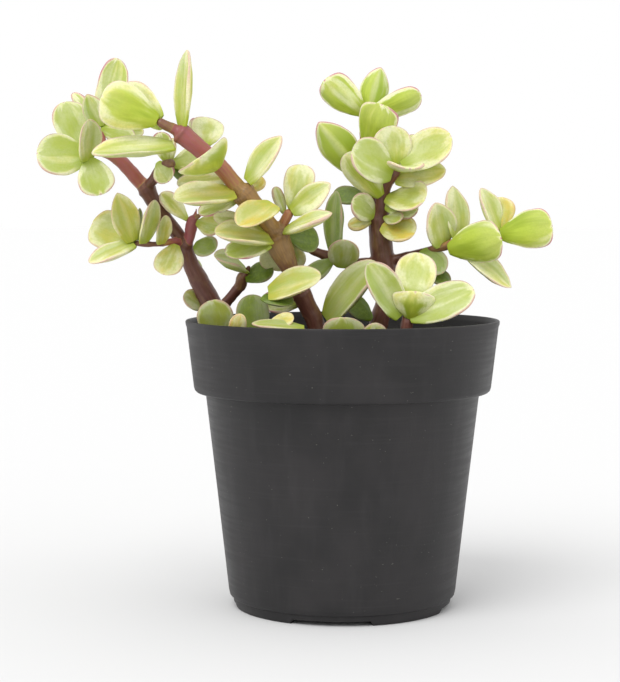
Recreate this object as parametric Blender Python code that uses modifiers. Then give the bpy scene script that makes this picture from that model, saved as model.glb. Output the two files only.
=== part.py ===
"""Potted elephant bush: a variegated spekboom of three woody stems in a black nursery pot.

Metres, +Z up. The pot stands on Z = 0 and the front is -Y. Sizes and places below are in millimetres,
measured from the pot's own axis; POT_AXIS puts that axis in the model, whose origin is under the middle
of the whole plant.
"""

import math

import bmesh
import bpy
from mathutils import Matrix, Vector

MM = 0.001
GAP = 0.3  # left between any two pieces that touch

# ---------------------------------------------------------------- driving dimensions, in mm
POT_AXIS = Vector((16.0, 0.0, 0.0))
POT_TOP_RADIUS = 52.5
POT_HEIGHT = 96.0
POT_WALL = 1.1
BAND_DEPTH = 23.8  # the plain collar round the top of the pot
BAND_FOOT_RADIUS = 49.4
NECK_RADIUS = 45.8  # the body just under the collar
BASE_RADIUS = 38.0  # the body at the top of the feet
FOOT_HEIGHT = 3.4
FOOT_RADIUS = 36.6
FOOT_WALL = 2.6
FLOOR_THICKNESS = 1.4
NOTCH_HALF_ANGLE = 21.0  # degrees: four notches part the base ring into four feet
NOTCH_TURN = -6.5  # degrees that the notches are turned from the front
DRAIN_RADIUS = 4.0
DRAIN_CIRCLE = 27.0
SOIL_TOP = 84.0
SOIL_CROWN = 2.5  # how far the soil is heaped in the middle
LEAF_THICKNESS = 2.3
TURNED_STEPS = 56
STEM_ROUNDNESS = 2  # a bevel resolution of 2 makes an eight-sided stem

# ---------------------------------------------------------------- stems: (x, y, z, radius) in mm
# Each woody stem swells at its nodes, where leaves or a twig leave it. The first run of a group is the
# stem itself, and the others are the twigs that grow out of it.
STEMS = {
    "stem_left": [
        [(-35, 10, 66, 3.8), (-37.3, 9, 85, 3.9), (-42, 8.6, 96, 3.8), (-45.4, 8.5, 102.8, 3.6),
         (-48.7, 7.5, 109.5, 3.3), (-52.2, 6.5, 118.6, 2.6), (-53.2, 6, 121.2, 2.9), (-55.9, 5.5, 125.1, 2.4),
         (-60, 5, 130.4, 2.4), (-65.6, 3.2, 139.6, 3.1), (-67.9, 2.8, 142.1, 2.4), (-73.7, 1, 148.6, 2.3),
         (-78.2, 0.5, 151.6, 2.0), (-82.4, 0, 152.2, 1.6), (-85, -0.5, 150.4, 1.2)],
        [(-52.8, 6, 120.8, 1.7), (-56, 3, 122, 1.5), (-60, 1, 121.5, 1.2), (-66, -1, 121.4, 1.2),
         (-69, -1.5, 121.5, 1.0)],
        [(-52.3, 6, 120.6, 2.0), (-51, 3.5, 126, 1.9), (-49.6, 1.4, 130.6, 1.5), (-48.7, 1, 133.3, 0.8)],
        [(-65.3, 3, 140.3, 1.8), (-62.3, -2, 143.6, 1.7), (-59.4, -7.5, 146.6, 1.8), (-55.5, -15, 147.8, 1.3)],
        [(-79.5, 0.5, 151.5, 1.3), (-80.3, 3, 156.5, 1.2), (-80.8, 4, 159.7, 1.0)],
        [(-43, 8, 97, 1.9), (-39.3, 5, 101.2, 1.8), (-35.2, 1, 106.2, 1.8), (-33.4, -3, 110, 1.6),
         (-31.6, -5.4, 113, 0.9)],
        [(-38.3, 9, 86, 1.8), (-39, 0, 88.4, 1.8), (-39.8, -9, 89.6, 1.5), (-40.3, -14.5, 90.8, 1.0)],
    ],
    "stem_middle": [
        [(-5, -9, 66, 3.3), (-6.6, -10.4, 84, 3.3), (-9.2, -11.5, 95.9, 3.0), (-13.8, -13, 105.6, 3.2),
         (-14.6, -13.4, 107.6, 2.8), (-17, -14.5, 112.3, 2.9), (-20.1, -15.5, 119.2, 3.9), (-21.5, -16, 123, 4.3),
         (-22.8, -16.6, 125.5, 2.9), (-28.4, -18.5, 133.2, 2.8), (-32.5, -20, 138, 3.7), (-34.6, -20.7, 140.4, 2.8),
         (-39.6, -22, 146.3, 2.7), (-45.4, -22.7, 151.5, 2.9), (-51.8, -23.2, 156.8, 3.3), (-53.8, -23.5, 158.1, 1.9),
         (-59, -24, 160.8, 1.4)],
        [(-21, -16, 123, 1.7), (-19.3, -16, 128.5, 1.6), (-17.4, -16, 132.2, 1.5)],
        [(-13.5, -12.5, 103.8, 1.5), (-18, -15, 104.6, 1.4), (-22.8, -20, 105, 1.2), (-23.6, -22.6, 105.2, 0.9)],
        [(-7.5, -10.5, 88, 1.8), (-16, -15, 88.8, 1.7), (-24, -16.5, 89.8, 1.5), (-28.8, -16, 91.2, 1.0)],
    ],
    "stem_right": [
        [(12, 9, 66, 3.5), (11.8, 8, 84, 3.5), (12.4, 8, 94, 3.3), (15.4, 8, 103, 3.0), (16.3, 8, 109, 3.1),
         (14.6, 8, 113, 4.0), (13.3, 8, 120, 4.0), (12.8, 8, 127, 3.8), (12.8, 7.5, 130.5, 3.4),
         (13.3, 6.2, 133.6, 2.8), (13.6, 5, 138, 2.1), (15, 3, 142, 1.9), (17.6, 1.2, 145.6, 1.7),
         (18.3, 0.7, 147.6, 1.2)],
        [(12.8, 7.5, 130.5, 2.0), (10.8, 8, 136, 1.9), (9, 7, 143, 1.6), (7.5, 6, 152, 1.4),
         (7, 5, 160, 1.4), (7.3, 5, 164.5, 1.2)],
        [(14.4, 8, 114.5, 1.7), (8, 7, 114.8, 1.6), (2, 5, 114.7, 1.4), (-3.5, 4, 116.5, 1.7),
         (-8.5, 3, 118.5, 1.4), (-11.5, 2, 119, 1.0)],
        [(14.4, 8, 114.8, 2.0), (20, 6, 116.5, 1.5), (26.5, 3, 118.6, 1.3), (33.2, -0.6, 120.1, 1.4),
         (38, -2, 121.6, 1.2), (45, -3, 123.2, 1.1), (52, -4, 125, 0.9)],
    ],
    "shoot_front": [
        [(19, -24, 72, 2.0), (19.5, -25, 84, 2.1), (20, -26, 94, 2.0), (20.8, -26, 99, 1.8),
         (21.8, -24.5, 103.4, 1.2)],
    ],
}
# ---------------------------------------------------------------- leaves, in mm
# (foot of the leaf, tip of the leaf, width, the way its upper side faces)
LEAVES = {
    "left_tip": [
        ((-85.7, 2, 151.5), (-93.6, 6, 168.8), 13, (0.2, -1, 0.3)),
        ((-86.3, -1.7, 150), (-101, -6, 151.2), 14, (0.3, -1, 0.3)),
        ((-85.1, -3.6, 149.3), (-83.2, -10, 162), 9.5, (1.2, -1, 0)),
        ((-84.2, -2.7, 148.2), (-81.4, -7, 137.8), 11.5, (0, -1, 0.6)),
        ((-81.6, 2.4, 160.6), (-85.2, 1, 171.2), 8, (0.7, -1, 0)),
        ((-79.6, 5.6, 160), (-75.8, 7, 183.4), 10.5, (0.2, -1, 0)),
    ],
    "left_twig": [
        ((-69.8, -3.3, 122.6), (-74.3, -8, 138.4), 10, (0.4, -1, 0.2)),
        ((-70.6, -0.5, 121.8), (-84, 3, 128), 13.5, (0.2, -1, 0.3)),
        ((-69.7, -3.4, 120.6), (-83.3, -9, 115.5), 8.5, (0, -1, 1)),
        ((-66.4, -3, 122.4), (-62, -8, 136), 9, (1.2, -1, 0)),
        ((-55.6, 0.8, 120.2), (-59.5, -6, 111.5), 9.8, (0, -1, 0.4)),
    ],
    "left_stem": [
        ((-47.9, -0.6, 129.6), (-40.4, -6, 127.2), 8.5, (0, -0.9, 0.8)),
        ((-33.2, -6.6, 113), (-42, -13, 118.6), 10.5, (0.3, -0.7, 1)),
        ((-31.2, -5.4, 110.2), (-22.7, -6, 113.2), 8, (0, -1, 0.3)),
        ((-40.6, -16, 91.8), (-42.7, -19, 103.4), 12.2, (0, -1, 0)),
        ((-29.3, -17, 92.5), (-29.8, -19, 105.4), 11.2, (0, -1, 0)),
    ],
    "middle_tip": [
        ((-60.6, -25.2, 161.2), (-77.0, -28, 168.4), 15, (0, -1, 0.2)),
        ((-59.8, -22, 162.4), (-70.6, -19, 173), 10, (0.3, -1, 0)),
        ((-51.6, -23.3, 161), (-50.4, -21, 183.6), 10.5, (-1.2, -0.8, 0)),
        ((-54.8, -26.4, 154.8), (-79.7, -31, 151.8), 13.5, (0, -0.7, 1)),
    ],
    "middle_stem": [
        ((-40.9, -26, 146), (-45.1, -38, 148.9), 18.5, (-0.52, 0.33, 0.77)),
        ((-44.2, -18.9, 154.6), (-43.1, -10, 162.6), 11.5, (0.2, -1, 0.5)),
        ((-30.1, -21.4, 142.4), (-19.9, -24, 156.1), 10.5, (-0.8, -0.8, 0.3)),
        ((-35.4, -24.4, 137.4), (-54.2, -31, 135.9), 10.8, (0, -0.9, 1)),
        ((-24.4, -21.8, 133.4), (-33.4, -29.5, 128), 10, (0, -0.9, 1)),
        ((-17.2, -15, 133.9), (-13.2, -12, 147.4), 10, (0, -1, 0.2)),
        ((-15.7, -16.6, 133), (-4.3, -21, 141), 8.2, (0, -1, 0.4)),
        ((-18.5, -20, 125.6), (-3.9, -27, 131.2), 9.6, (0, -0.8, 0.8)),
        ((-25.2, -20.2, 122.9), (-41, -30, 125.2), 12.5, (0, -0.8, 1)),
        ((-23.8, -24.4, 105.8), (-7.2, -28.5, 111.6), 12, (0, -0.9, 0.7)),
    ],
    "front": [
        ((17.7, -27.8, 98.8), (6.9, -32, 114.6), 11.5, (0.2, -1, 0.2)),
        ((-4.9, -13.8, 96.4), (10.6, -17.5, 116.2), 12, (-0.8, -0.7, 0.5)),
        ((22.6, -23.6, 105), (23.7, -20, 118.9), 13.2, (0, -1, 0.2)),
        ((21.6, -28.9, 99.4), (22.6, -35.4, 108.4), 13.5, (0, 1, 0.9)),
        ((23.2, -28.4, 98.2), (41.4, -31.5, 107.2), 12.6, (-0.2, -1, 0.4)),
    ],
    "right_top": [
        ((6, 4, 165.8), (-5.9, 2, 175.7), 11, (0.2, -1, 0.2)),
        ((8, 6.4, 165.8), (12.2, 9, 180.5), 10, (0, -1, 0.2)),
        ((9.4, 6.2, 164.6), (26.8, 8, 172), 8.5, (-0.4, -1, 0.2)),
        ((9.2, 3, 156), (14, -6, 167.4), 14, (0, 1, -0.6)),
        ((5.2, 6.4, 147.6), (-7.9, 4, 161.6), 12, (0.3, -1, 0)),
    ],
    "right_crown": [
        ((16, -1.6, 146), (3.2, -9, 153.2), 14, (0.3, -1, 0.3)),
        ((11.8, 2.4, 138.6), (1, 0, 151.3), 12, (-0.6, -1, 0)),
        ((18.4, -0.8, 149.6), (17.8, -6.5, 160), 9, (0, -1, 0)),
        ((20.4, 0, 149), (35.6, -5, 157), 12.6, (-0.2, -1, 0.2)),
        ((18.4, 3.6, 144), (34.3, 0.5, 147.6), 10, (0, -1, 0.6)),
        ((15.9, 2, 137.2), (27.4, -7, 137), 10.5, (0, -1, 0.6)),
        ((13.6, 3, 127), (24.1, -5, 125), 8, (-0.3, -1, 0.7)),
    ],
    "right_twig": [
        ((-2.9, 2, 118.9), (-2, -2, 139), 8.8, (-1, -1, 0)),
        ((33, -2.8, 122), (31.3, -7, 134.8), 10.8, (0.3, -1, 0)),
        ((38.4, 0.2, 123.9), (37.4, 3, 140.8), 10, (0.7, -1, 0)),
        ((37.2, -4.2, 120), (51.8, -12, 123.2), 13.8, (0, -1, 0)),
        ((41.2, -3, 120.6), (56.5, -3, 107.1), 9.5, (0.5, -0.9, 0.5)),
        ((52, -4.6, 126.7), (46, -6.5, 139.9), 9.5, (0.9, -0.9, 0.1)),
        ((53.5, -5, 124.8), (69, -10, 127.4), 12.8, (0, -1, 0)),
    ],
}


def plain_material(name, colour, roughness):
    material = bpy.data.materials.new(name)
    material.use_nodes = True
    shader = material.node_tree.nodes["Principled BSDF"]
    shader.inputs["Base Color"].default_value = (*colour, 1.0)
    shader.inputs["Roughness"].default_value = roughness
    shader.inputs["Metallic"].default_value = 0.0
    return material


def add_object(name, data, collection, material=None, parent=None):
    thing = bpy.data.objects.new(name, data)
    collection.objects.link(thing)
    thing.parent = parent
    if material:
        data.materials.append(material)
    return thing


def hide(cutter):
    cutter.hide_render = True
    cutter.display_type = "WIRE"


# ---------------------------------------------------------------- pot
def turned(name, profile, collection, material, parent):
    """A profile of (radius, z) points in mm turned about Z; one that starts off the axis is closed on itself."""
    mesh = bpy.data.meshes.new(name)
    points = [(r * MM, 0.0, z * MM) for r, z in profile]
    edges = [(i, i + 1) for i in range(len(points) - 1)]
    if profile[0][0] > 0:
        edges.append((len(points) - 1, 0))
    mesh.from_pydata(points, edges, [])
    thing = add_object(name, mesh, collection, material, parent)
    screw = thing.modifiers.new("turn", "SCREW")
    screw.steps = TURNED_STEPS
    screw.render_steps = TURNED_STEPS
    screw.use_merge_vertices = True
    screw.merge_threshold = 0.00001
    return thing


def cut(thing, cutter):
    modifier = thing.modifiers.new(f"cut_{cutter.name}", "BOOLEAN")
    modifier.operation = "DIFFERENCE"
    modifier.solver = "EXACT"
    modifier.object = cutter


def base_notch(index, cutters, parent):
    """A wedge that clears one notch out of the base ring, from the outside in to the middle of the floor."""
    mesh = bpy.data.meshes.new(f"notch_{index}")
    shape = bmesh.new()
    steps = 6
    reach = BASE_RADIUS + 6
    inner = FOOT_RADIUS - FOOT_WALL - 4
    arc = [math.radians(NOTCH_HALF_ANGLE * (2 * k / steps - 1)) for k in range(steps + 1)]
    outline = [(reach * math.sin(a), -reach * math.cos(a)) for a in arc]
    outline += [(inner * math.sin(a), -inner * math.cos(a)) for a in reversed(arc)]
    face = shape.faces.new([shape.verts.new((x * MM, y * MM, -2 * MM)) for x, y in outline])
    pushed = bmesh.ops.extrude_face_region(shape, geom=[face])
    top = [v for v in pushed["geom"] if isinstance(v, bmesh.types.BMVert)]
    bmesh.ops.translate(shape, verts=top, vec=(0, 0, (FOOT_HEIGHT + 2) * MM))
    bmesh.ops.recalc_face_normals(shape, faces=shape.faces)
    shape.to_mesh(mesh)
    shape.free()
    cutter = add_object(f"notch_{index}", mesh, cutters, parent=parent)
    cutter.rotation_euler.z = math.radians(NOTCH_TURN + 90 * index)
    hide(cutter)
    return cutter


def drain_hole(index, cutters, parent):
    mesh = bpy.data.meshes.new(f"drain_{index}")
    shape = bmesh.new()
    bmesh.ops.create_cone(shape, cap_ends=True, segments=16, radius1=DRAIN_RADIUS * MM,
                          radius2=DRAIN_RADIUS * MM, depth=8 * MM)
    shape.to_mesh(mesh)
    shape.free()
    cutter = add_object(f"drain_{index}", mesh, cutters, parent=parent)
    turn = math.radians(NOTCH_TURN + 90 * index)
    place = Vector((math.sin(turn), -math.cos(turn))) * DRAIN_CIRCLE
    cutter.location = (place.x * MM, place.y * MM, (FOOT_HEIGHT + 1) * MM)
    hide(cutter)
    return cutter


def body_radius(z):
    """The pot body's outer radius at a height between the feet and the collar."""
    share = (z - FOOT_HEIGHT) / (POT_HEIGHT - BAND_DEPTH - FOOT_HEIGHT)
    return BASE_RADIUS + (NECK_RADIUS - BASE_RADIUS) * share


def band_radius(z):
    """The collar's outer radius at a height."""
    share = (z - (POT_HEIGHT - BAND_DEPTH)) / BAND_DEPTH
    return BAND_FOOT_RADIUS + (POT_TOP_RADIUS - BAND_FOOT_RADIUS) * share


def make_pot(collection, cutters, parent, material):
    band_foot = POT_HEIGHT - BAND_DEPTH
    floor_top = FOOT_HEIGHT + FLOOR_THICKNESS
    step = 1.0  # rounding where the collar turns in to the body
    ledge = band_foot + POT_WALL
    profile = [
        (POT_TOP_RADIUS - POT_WALL, POT_HEIGHT),
        (POT_TOP_RADIUS, POT_HEIGHT),
        (band_radius(band_foot + step), band_foot + step),
        (BAND_FOOT_RADIUS - step, band_foot),
        (NECK_RADIUS, band_foot - 0.4),
        (body_radius(FOOT_HEIGHT + 3), FOOT_HEIGHT + 3),
        (BASE_RADIUS - 0.3, FOOT_HEIGHT),
        (FOOT_RADIUS, 0.6),
        (FOOT_RADIUS - 0.6, 0),
        (FOOT_RADIUS - FOOT_WALL, 0),
        (FOOT_RADIUS - FOOT_WALL, FOOT_HEIGHT),
        (0, FOOT_HEIGHT),
        (0, floor_top),
        (body_radius(floor_top) - POT_WALL - 1.2, floor_top),
        (body_radius(floor_top + 2) - POT_WALL, floor_top + 2),
        (NECK_RADIUS - POT_WALL, ledge - 0.5),
        (band_radius(ledge + 0.8) - POT_WALL, ledge + 0.8),
    ]
    pot = turned("pot", profile, collection, material, parent)
    for index in range(4):
        cut(pot, base_notch(index, cutters, parent))
        cut(pot, drain_hole(index, cutters, parent))
    return pot


def make_soil(collection, parent, material, stem_cutters):
    """The root ball: it fills the pot up to its heaped top, with a hole for each stem that is rooted in it."""
    floor_top = FOOT_HEIGHT + FLOOR_THICKNESS
    ledge = POT_HEIGHT - BAND_DEPTH + POT_WALL
    inner = POT_WALL + GAP + 0.1
    profile = [
        (0, SOIL_TOP + SOIL_CROWN),
        (15, SOIL_TOP + SOIL_CROWN - 0.3),
        (30, SOIL_TOP + SOIL_CROWN - 1.2),
        (42, SOIL_TOP + 0.4),
        (band_radius(SOIL_TOP) - inner, SOIL_TOP - 0.6),
        (band_radius(ledge + 1.4) - inner, ledge + 1.4),
        (NECK_RADIUS - inner - 0.2, ledge - 0.2),
        (body_radius(floor_top + 3) - inner, floor_top + 3),
        (body_radius(floor_top) - inner - 1.8, floor_top + GAP),
        (0, floor_top + GAP),
    ]
    soil = turned("soil", profile, collection, material, parent)
    for cutter in stem_cutters:
        cut(soil, cutter)
    return soil


# ---------------------------------------------------------------- stems
def tube_curve(name, run, collection, parent, extra=0.0):
    """A round stem through a run of (x, y, z, radius) points, with filled ends."""
    data = bpy.data.curves.new(name, "CURVE")
    data.dimensions = "3D"
    data.bevel_depth = MM
    data.bevel_resolution = STEM_ROUNDNESS
    data.use_fill_caps = True
    spline = data.splines.new("POLY")
    spline.points.add(len(run) - 1)
    for point, (x, y, z, radius) in zip(spline.points, run):
        point.co = (x * MM, y * MM, z * MM, 1.0)
        point.radius = radius + extra
    return add_object(name, data, collection, parent=parent)


def as_mesh(curve, collection, material=None):
    """The curve's tube as a mesh object whose caps are welded on; the curve is removed."""
    bpy.context.view_layer.update()
    graph = bpy.context.evaluated_depsgraph_get()
    mesh = bpy.data.meshes.new_from_object(curve.evaluated_get(graph))
    shape = bmesh.new()
    shape.from_mesh(mesh)
    bmesh.ops.remove_doubles(shape, verts=shape.verts, dist=0.00002)
    bmesh.ops.recalc_face_normals(shape, faces=shape.faces)
    shape.to_mesh(mesh)
    shape.free()
    name, parent, place = curve.name, curve.parent, curve.matrix_world.copy()
    bpy.data.objects.remove(curve)
    mesh.name = name
    thing = add_object(name, mesh, collection, material, parent)
    thing.matrix_world = place
    return thing


def make_stem(name, runs, collection, cutters, parent, material):
    """The stem with its twigs grown on, and a slightly thicker copy of its foot to cut the soil with."""
    stem = as_mesh(tube_curve(name, runs[0], collection, parent), collection, material)
    for index, run in enumerate(runs[1:], 1):
        twig = as_mesh(tube_curve(f"{name}_twig_{index}", run, cutters, parent), cutters)
        hide(twig)
        union = stem.modifiers.new(f"twig_{index}", "BOOLEAN")
        union.operation = "UNION"
        union.solver = "EXACT"
        union.object = twig
    foot_run = [(x, y, z if k else z - 0.6, r) for k, (x, y, z, r) in enumerate(runs[0][:3])]
    foot = as_mesh(tube_curve(f"{name}_foot", foot_run, cutters, parent, extra=GAP + 0.1), cutters)
    hide(foot)
    return foot


# ---------------------------------------------------------------- leaves
LEAF_RINGS = 8
LEAF_SIDES = 8


def half_width(t):
    """Half of a leaf's width at a share t of its length, for a leaf one unit wide: broadest past the middle."""
    widest = 0.6
    if t < widest:
        s = t / widest
        return 0.5 * (0.13 + 0.87 * math.sin(math.pi / 2 * s) ** 1.15)
    s = (t - widest) / (1 - widest)
    return 0.5 * math.sqrt(max(0.0, 1 - s ** 2.3))


def half_thickness(t):
    """Half of a leaf's thickness at a share t of its length, for a leaf one unit thick."""
    return 0.5 * (0.55 + 0.45 * math.sin(math.pi * min(1.0, t * 1.15))) * min(1.0, 6 * (1 - t)) ** 0.5


def leaf_mesh(name, length, width):
    """A fleshy leaf along +Y with its upper side to +Z, shaped from a sphere and cupped a little."""
    mesh = bpy.data.meshes.new(name)
    shape = bmesh.new()
    bmesh.ops.create_uvsphere(shape, u_segments=LEAF_SIDES, v_segments=LEAF_RINGS, radius=1.0)
    for vertex in shape.verts:
        t = (1 + vertex.co.z) / 2
        ring = math.hypot(vertex.co.x, vertex.co.y)
        across = vertex.co.x / ring if ring > 1e-6 else 0.0
        through = vertex.co.y / ring if ring > 1e-6 else 0.0
        inside = 1.0 if ring > 1e-6 else 0.0
        side = across * inside * half_width(t)
        rise = 0.10 * (2 * side) ** 2 * width + 0.05 * length * (t * t - t)
        thick = through * inside * half_thickness(t) * LEAF_THICKNESS
        vertex.co = Vector((side * width, t * length, thick + rise)) * MM
    bmesh.ops.reverse_faces(shape, faces=shape.faces)
    shape.to_mesh(mesh)
    shape.free()
    return mesh


def leaf_pose(foot, tip, faces):
    """The matrix that carries a leaf from the origin to its place on the plant."""
    along = (Vector(tip) - Vector(foot)).normalized()
    up = Vector(faces)
    up = (up - along * up.dot(along)).normalized()
    side = along.cross(up)
    turn = Matrix((side, along, up)).transposed().to_4x4()
    return Matrix.Translation(Vector(foot) * MM) @ turn


def make_leaves(collection, parent, material):
    for group, rows in LEAVES.items():
        for number, (foot, tip, width, faces) in enumerate(rows, 1):
            name = f"leaf_{group}_{number}"
            length = (Vector(tip) - Vector(foot)).length
            leaf = add_object(name, leaf_mesh(name, length, width), collection, material, parent)
            leaf.matrix_local = leaf_pose(foot, tip, faces)


# ---------------------------------------------------------------- the whole plant
def main():
    for thing in list(bpy.data.objects):
        bpy.data.objects.remove(thing)
    collection = bpy.data.collections.new("potted_elephant_bush")
    cutters = bpy.data.collections.new("cutters")
    bpy.context.scene.collection.children.link(collection)
    bpy.context.scene.collection.children.link(cutters)
    axis = add_object("pot_axis", None, collection)
    axis.location = POT_AXIS * MM
    plastic = plain_material("pot_plastic", (0.035, 0.035, 0.037), 0.5)
    peat = plain_material("peat_soil", (0.05, 0.03, 0.02), 0.95)
    bark = plain_material("stem_bark", (0.16, 0.06, 0.05), 0.6)
    leaf = plain_material("leaf_flesh", (0.45, 0.6, 0.2), 0.4)
    make_pot(collection, cutters, axis, plastic)
    feet = [make_stem(name, runs, collection, cutters, axis, bark) for name, runs in STEMS.items()]
    make_soil(collection, axis, peat, feet)
    make_leaves(collection, axis, leaf)


main()
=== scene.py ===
"""The looks of a potted elephant bush: a variegated succulent with leaning woody stems in a black pot.

Everything is in metres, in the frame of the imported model. Places on the plant are written in millimetres
from the pot's own axis, and the pot stands on the floor at Z = 0 with its front towards -Y.
"""
import math
import random

import bpy
import numpy as np
from mathutils import Matrix, Vector


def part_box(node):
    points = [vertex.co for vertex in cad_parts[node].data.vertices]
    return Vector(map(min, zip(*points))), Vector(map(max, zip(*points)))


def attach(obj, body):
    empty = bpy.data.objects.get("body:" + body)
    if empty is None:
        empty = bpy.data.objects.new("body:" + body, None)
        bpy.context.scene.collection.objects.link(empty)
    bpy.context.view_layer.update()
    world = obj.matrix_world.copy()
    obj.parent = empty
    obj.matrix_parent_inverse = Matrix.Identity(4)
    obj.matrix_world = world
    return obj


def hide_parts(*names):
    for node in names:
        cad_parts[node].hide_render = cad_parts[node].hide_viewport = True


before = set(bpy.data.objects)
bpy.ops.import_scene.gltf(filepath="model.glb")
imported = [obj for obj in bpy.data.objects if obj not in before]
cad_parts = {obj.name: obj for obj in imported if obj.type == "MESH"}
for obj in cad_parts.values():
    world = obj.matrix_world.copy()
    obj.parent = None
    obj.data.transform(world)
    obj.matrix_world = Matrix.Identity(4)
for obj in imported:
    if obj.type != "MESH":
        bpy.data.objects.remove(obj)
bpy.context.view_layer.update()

# ---------------------------------------------------------------- camera
# A long lens a little above the rim, square on to the front of the pot. The plant leans to the left, so the
# camera stands to the left of the pot's axis, over the middle of the whole plant.
MM = 0.001
pot_low, pot_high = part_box("pot")
pot_axis = Vector(((pot_low.x + pot_high.x) / 2, (pot_low.y + pot_high.y) / 2, pot_low.z))
pot_height = (pot_high.z - pot_low.z) / MM
CAMERA_SIDE = -10.84  # mm to the side of the pot's axis
CAMERA_DISTANCE = 600
CAMERA_HEIGHT = 130.4
AIM_HEIGHT = 88.8

camera_data = bpy.data.cameras.new("camera")
camera_data.sensor_width = 36
camera_data.lens = 94.66
camera_data.clip_start = 0.01
camera = bpy.data.objects.new("camera", camera_data)
bpy.context.scene.collection.objects.link(camera)
camera.location = pot_axis + Vector((CAMERA_SIDE, -CAMERA_DISTANCE, CAMERA_HEIGHT)) * MM
camera_aim = pot_axis + Vector((CAMERA_SIDE, 0, AIM_HEIGHT)) * MM
camera.rotation_euler = (camera_aim - camera.location).to_track_quat("-Z", "Y").to_euler()
bpy.context.scene.camera = camera


# ---------------------------------------------------------------- pot
# A round nursery pot of black polypropylene, injection moulded in one piece with a wall about 1.1 mm thick.
# A plain collar goes round its top, and four shallow notches part its base ring into four feet.
def deselect_all():
    if bpy.context.mode != "OBJECT":
        bpy.ops.object.mode_set(mode="OBJECT")
    bpy.ops.object.select_all(action="DESELECT")


def take_up(piece):
    """Makes a piece the only selected and active object."""
    deselect_all()
    piece.select_set(True)
    bpy.context.view_layer.objects.active = piece


def select_points(piece, wanted):
    """Goes to edit mode with only the vertices selected whose place passes the test."""
    bpy.ops.object.mode_set(mode="EDIT")
    bpy.ops.mesh.select_mode(type="VERT")
    bpy.ops.mesh.select_all(action="DESELECT")
    bpy.ops.object.mode_set(mode="OBJECT")
    for vertex in piece.data.vertices:
        vertex.select = wanted(vertex.co)
    bpy.ops.object.mode_set(mode="EDIT")


def apply_modifier(piece, kind, **settings):
    """Puts a modifier on a piece, sets it and applies it."""
    take_up(piece)
    modifier = piece.modifiers.new(kind.lower(), kind)
    for setting, value in settings.items():
        setattr(modifier, setting, value)
    bpy.ops.object.modifier_apply(modifier=modifier.name)


def turn_up(name, profile, segments):
    """A turned piece: a disc at the first (radius, height) in mm, extruded ring by ring to the last."""
    deselect_all()
    radius, height = profile[0]
    centre = pot_axis + Vector((0, 0, height * MM))
    bpy.ops.mesh.primitive_circle_add(
        vertices=segments, radius=radius * MM, fill_type="NGON", location=centre)
    piece = bpy.context.object
    piece.name = piece.data.name = name
    bpy.ops.object.transform_apply(location=True, rotation=True, scale=True)
    bpy.ops.object.mode_set(mode="EDIT")
    bpy.ops.mesh.select_all(action="SELECT")
    bpy.ops.mesh.select_mode(type="EDGE")
    bpy.ops.mesh.region_to_loop()
    for new_radius, new_height in profile[1:]:
        bpy.ops.mesh.extrude_edges_move()
        ratio = new_radius / radius
        bpy.ops.transform.resize(value=(ratio, ratio, 1), center_override=centre)
        bpy.ops.transform.translate(value=(0, 0, (new_height - height) * MM))
        radius, height = new_radius, new_height
    bpy.ops.mesh.edge_face_add()
    bpy.ops.mesh.select_all(action="SELECT")
    bpy.ops.mesh.normals_make_consistent(inside=False)
    bpy.ops.object.mode_set(mode="OBJECT")
    return piece


def azimuth(place):
    """Degrees round the pot from its front, towards +X, of a place in metres."""
    return math.degrees(math.atan2(place.x - pot_axis.x, pot_axis.y - place.y))


COLLAR_DEPTH = 23.8
COLLAR_FOOT = pot_height - COLLAR_DEPTH
FLOOR_TOP = 4.8
FLOOR_UNDER = 3.4
FLOOR_DISC = 20  # radius of the flat disc that closes the floor above and below
pot_inside = [
    (FLOOR_DISC, FLOOR_TOP), (35.6, FLOOR_TOP), (36.5, FLOOR_TOP + 0.5), (37.1, FLOOR_TOP + 2),
    (44.7, COLLAR_FOOT + 0.4), (47.3, COLLAR_FOOT + 1.1), (48.4, COLLAR_FOOT + 2.2),
    (51.0, pot_height - 2.2), (51.15, pot_height - 0.4)]
pot_rim = [
    (51.45, pot_height), (52.2, pot_height), (52.5, pot_height - 0.35), (52.42, pot_height - 1.3),
    (52.1, pot_height - 2.2)]
pot_outside = [
    (49.75, COLLAR_FOOT + 1.6), (49.45, COLLAR_FOOT + 0.6), (48.9, COLLAR_FOOT + 0.1), (48.3, COLLAR_FOOT),
    (46.2, COLLAR_FOOT - 0.05), (45.8, COLLAR_FOOT - 0.7), (41.9, 38), (38.25, 5.5)]
pot_foot = [
    (37.9, 4.0), (37.3, 3.45), (36.75, 3.2), (36.6, 1.6), (36.4, 0.5), (35.9, 0), (34.5, 0), (34, 0.5),
    (34, FLOOR_UNDER), (FLOOR_DISC, FLOOR_UNDER)]
pot = turn_up("nursery_pot", pot_inside + pot_rim + pot_outside + pot_foot, segments=240)

NOTCHES = 4
NOTCH_TURN = -6.5  # degrees from the front to the middle of the first notch
NOTCH_HALF = 21.5
NOTCH_HEIGHT = 3.1
NOTCH_ROUND = 8.0  # degrees over which a foot's end is rounded
NOTCH_FLATNESS = 0.15  # how much of the foot's round edge is left in a notch
FOOT_EDGE = 1.0  # height under which the foot's round edge lies


def notch_lift(place):
    """How far in mm the foot ring is raised at a place: full height in a notch, nothing on a foot."""
    spacing = 360 / NOTCHES
    from_middle = (azimuth(place) - NOTCH_TURN + spacing / 2) % spacing - spacing / 2
    inside = NOTCH_HALF - abs(from_middle)
    if inside <= 0:
        return 0.0
    share = min(1.0, inside / NOTCH_ROUND)
    return NOTCH_HEIGHT * math.sqrt(1 - (1 - share) ** 2)


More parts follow.
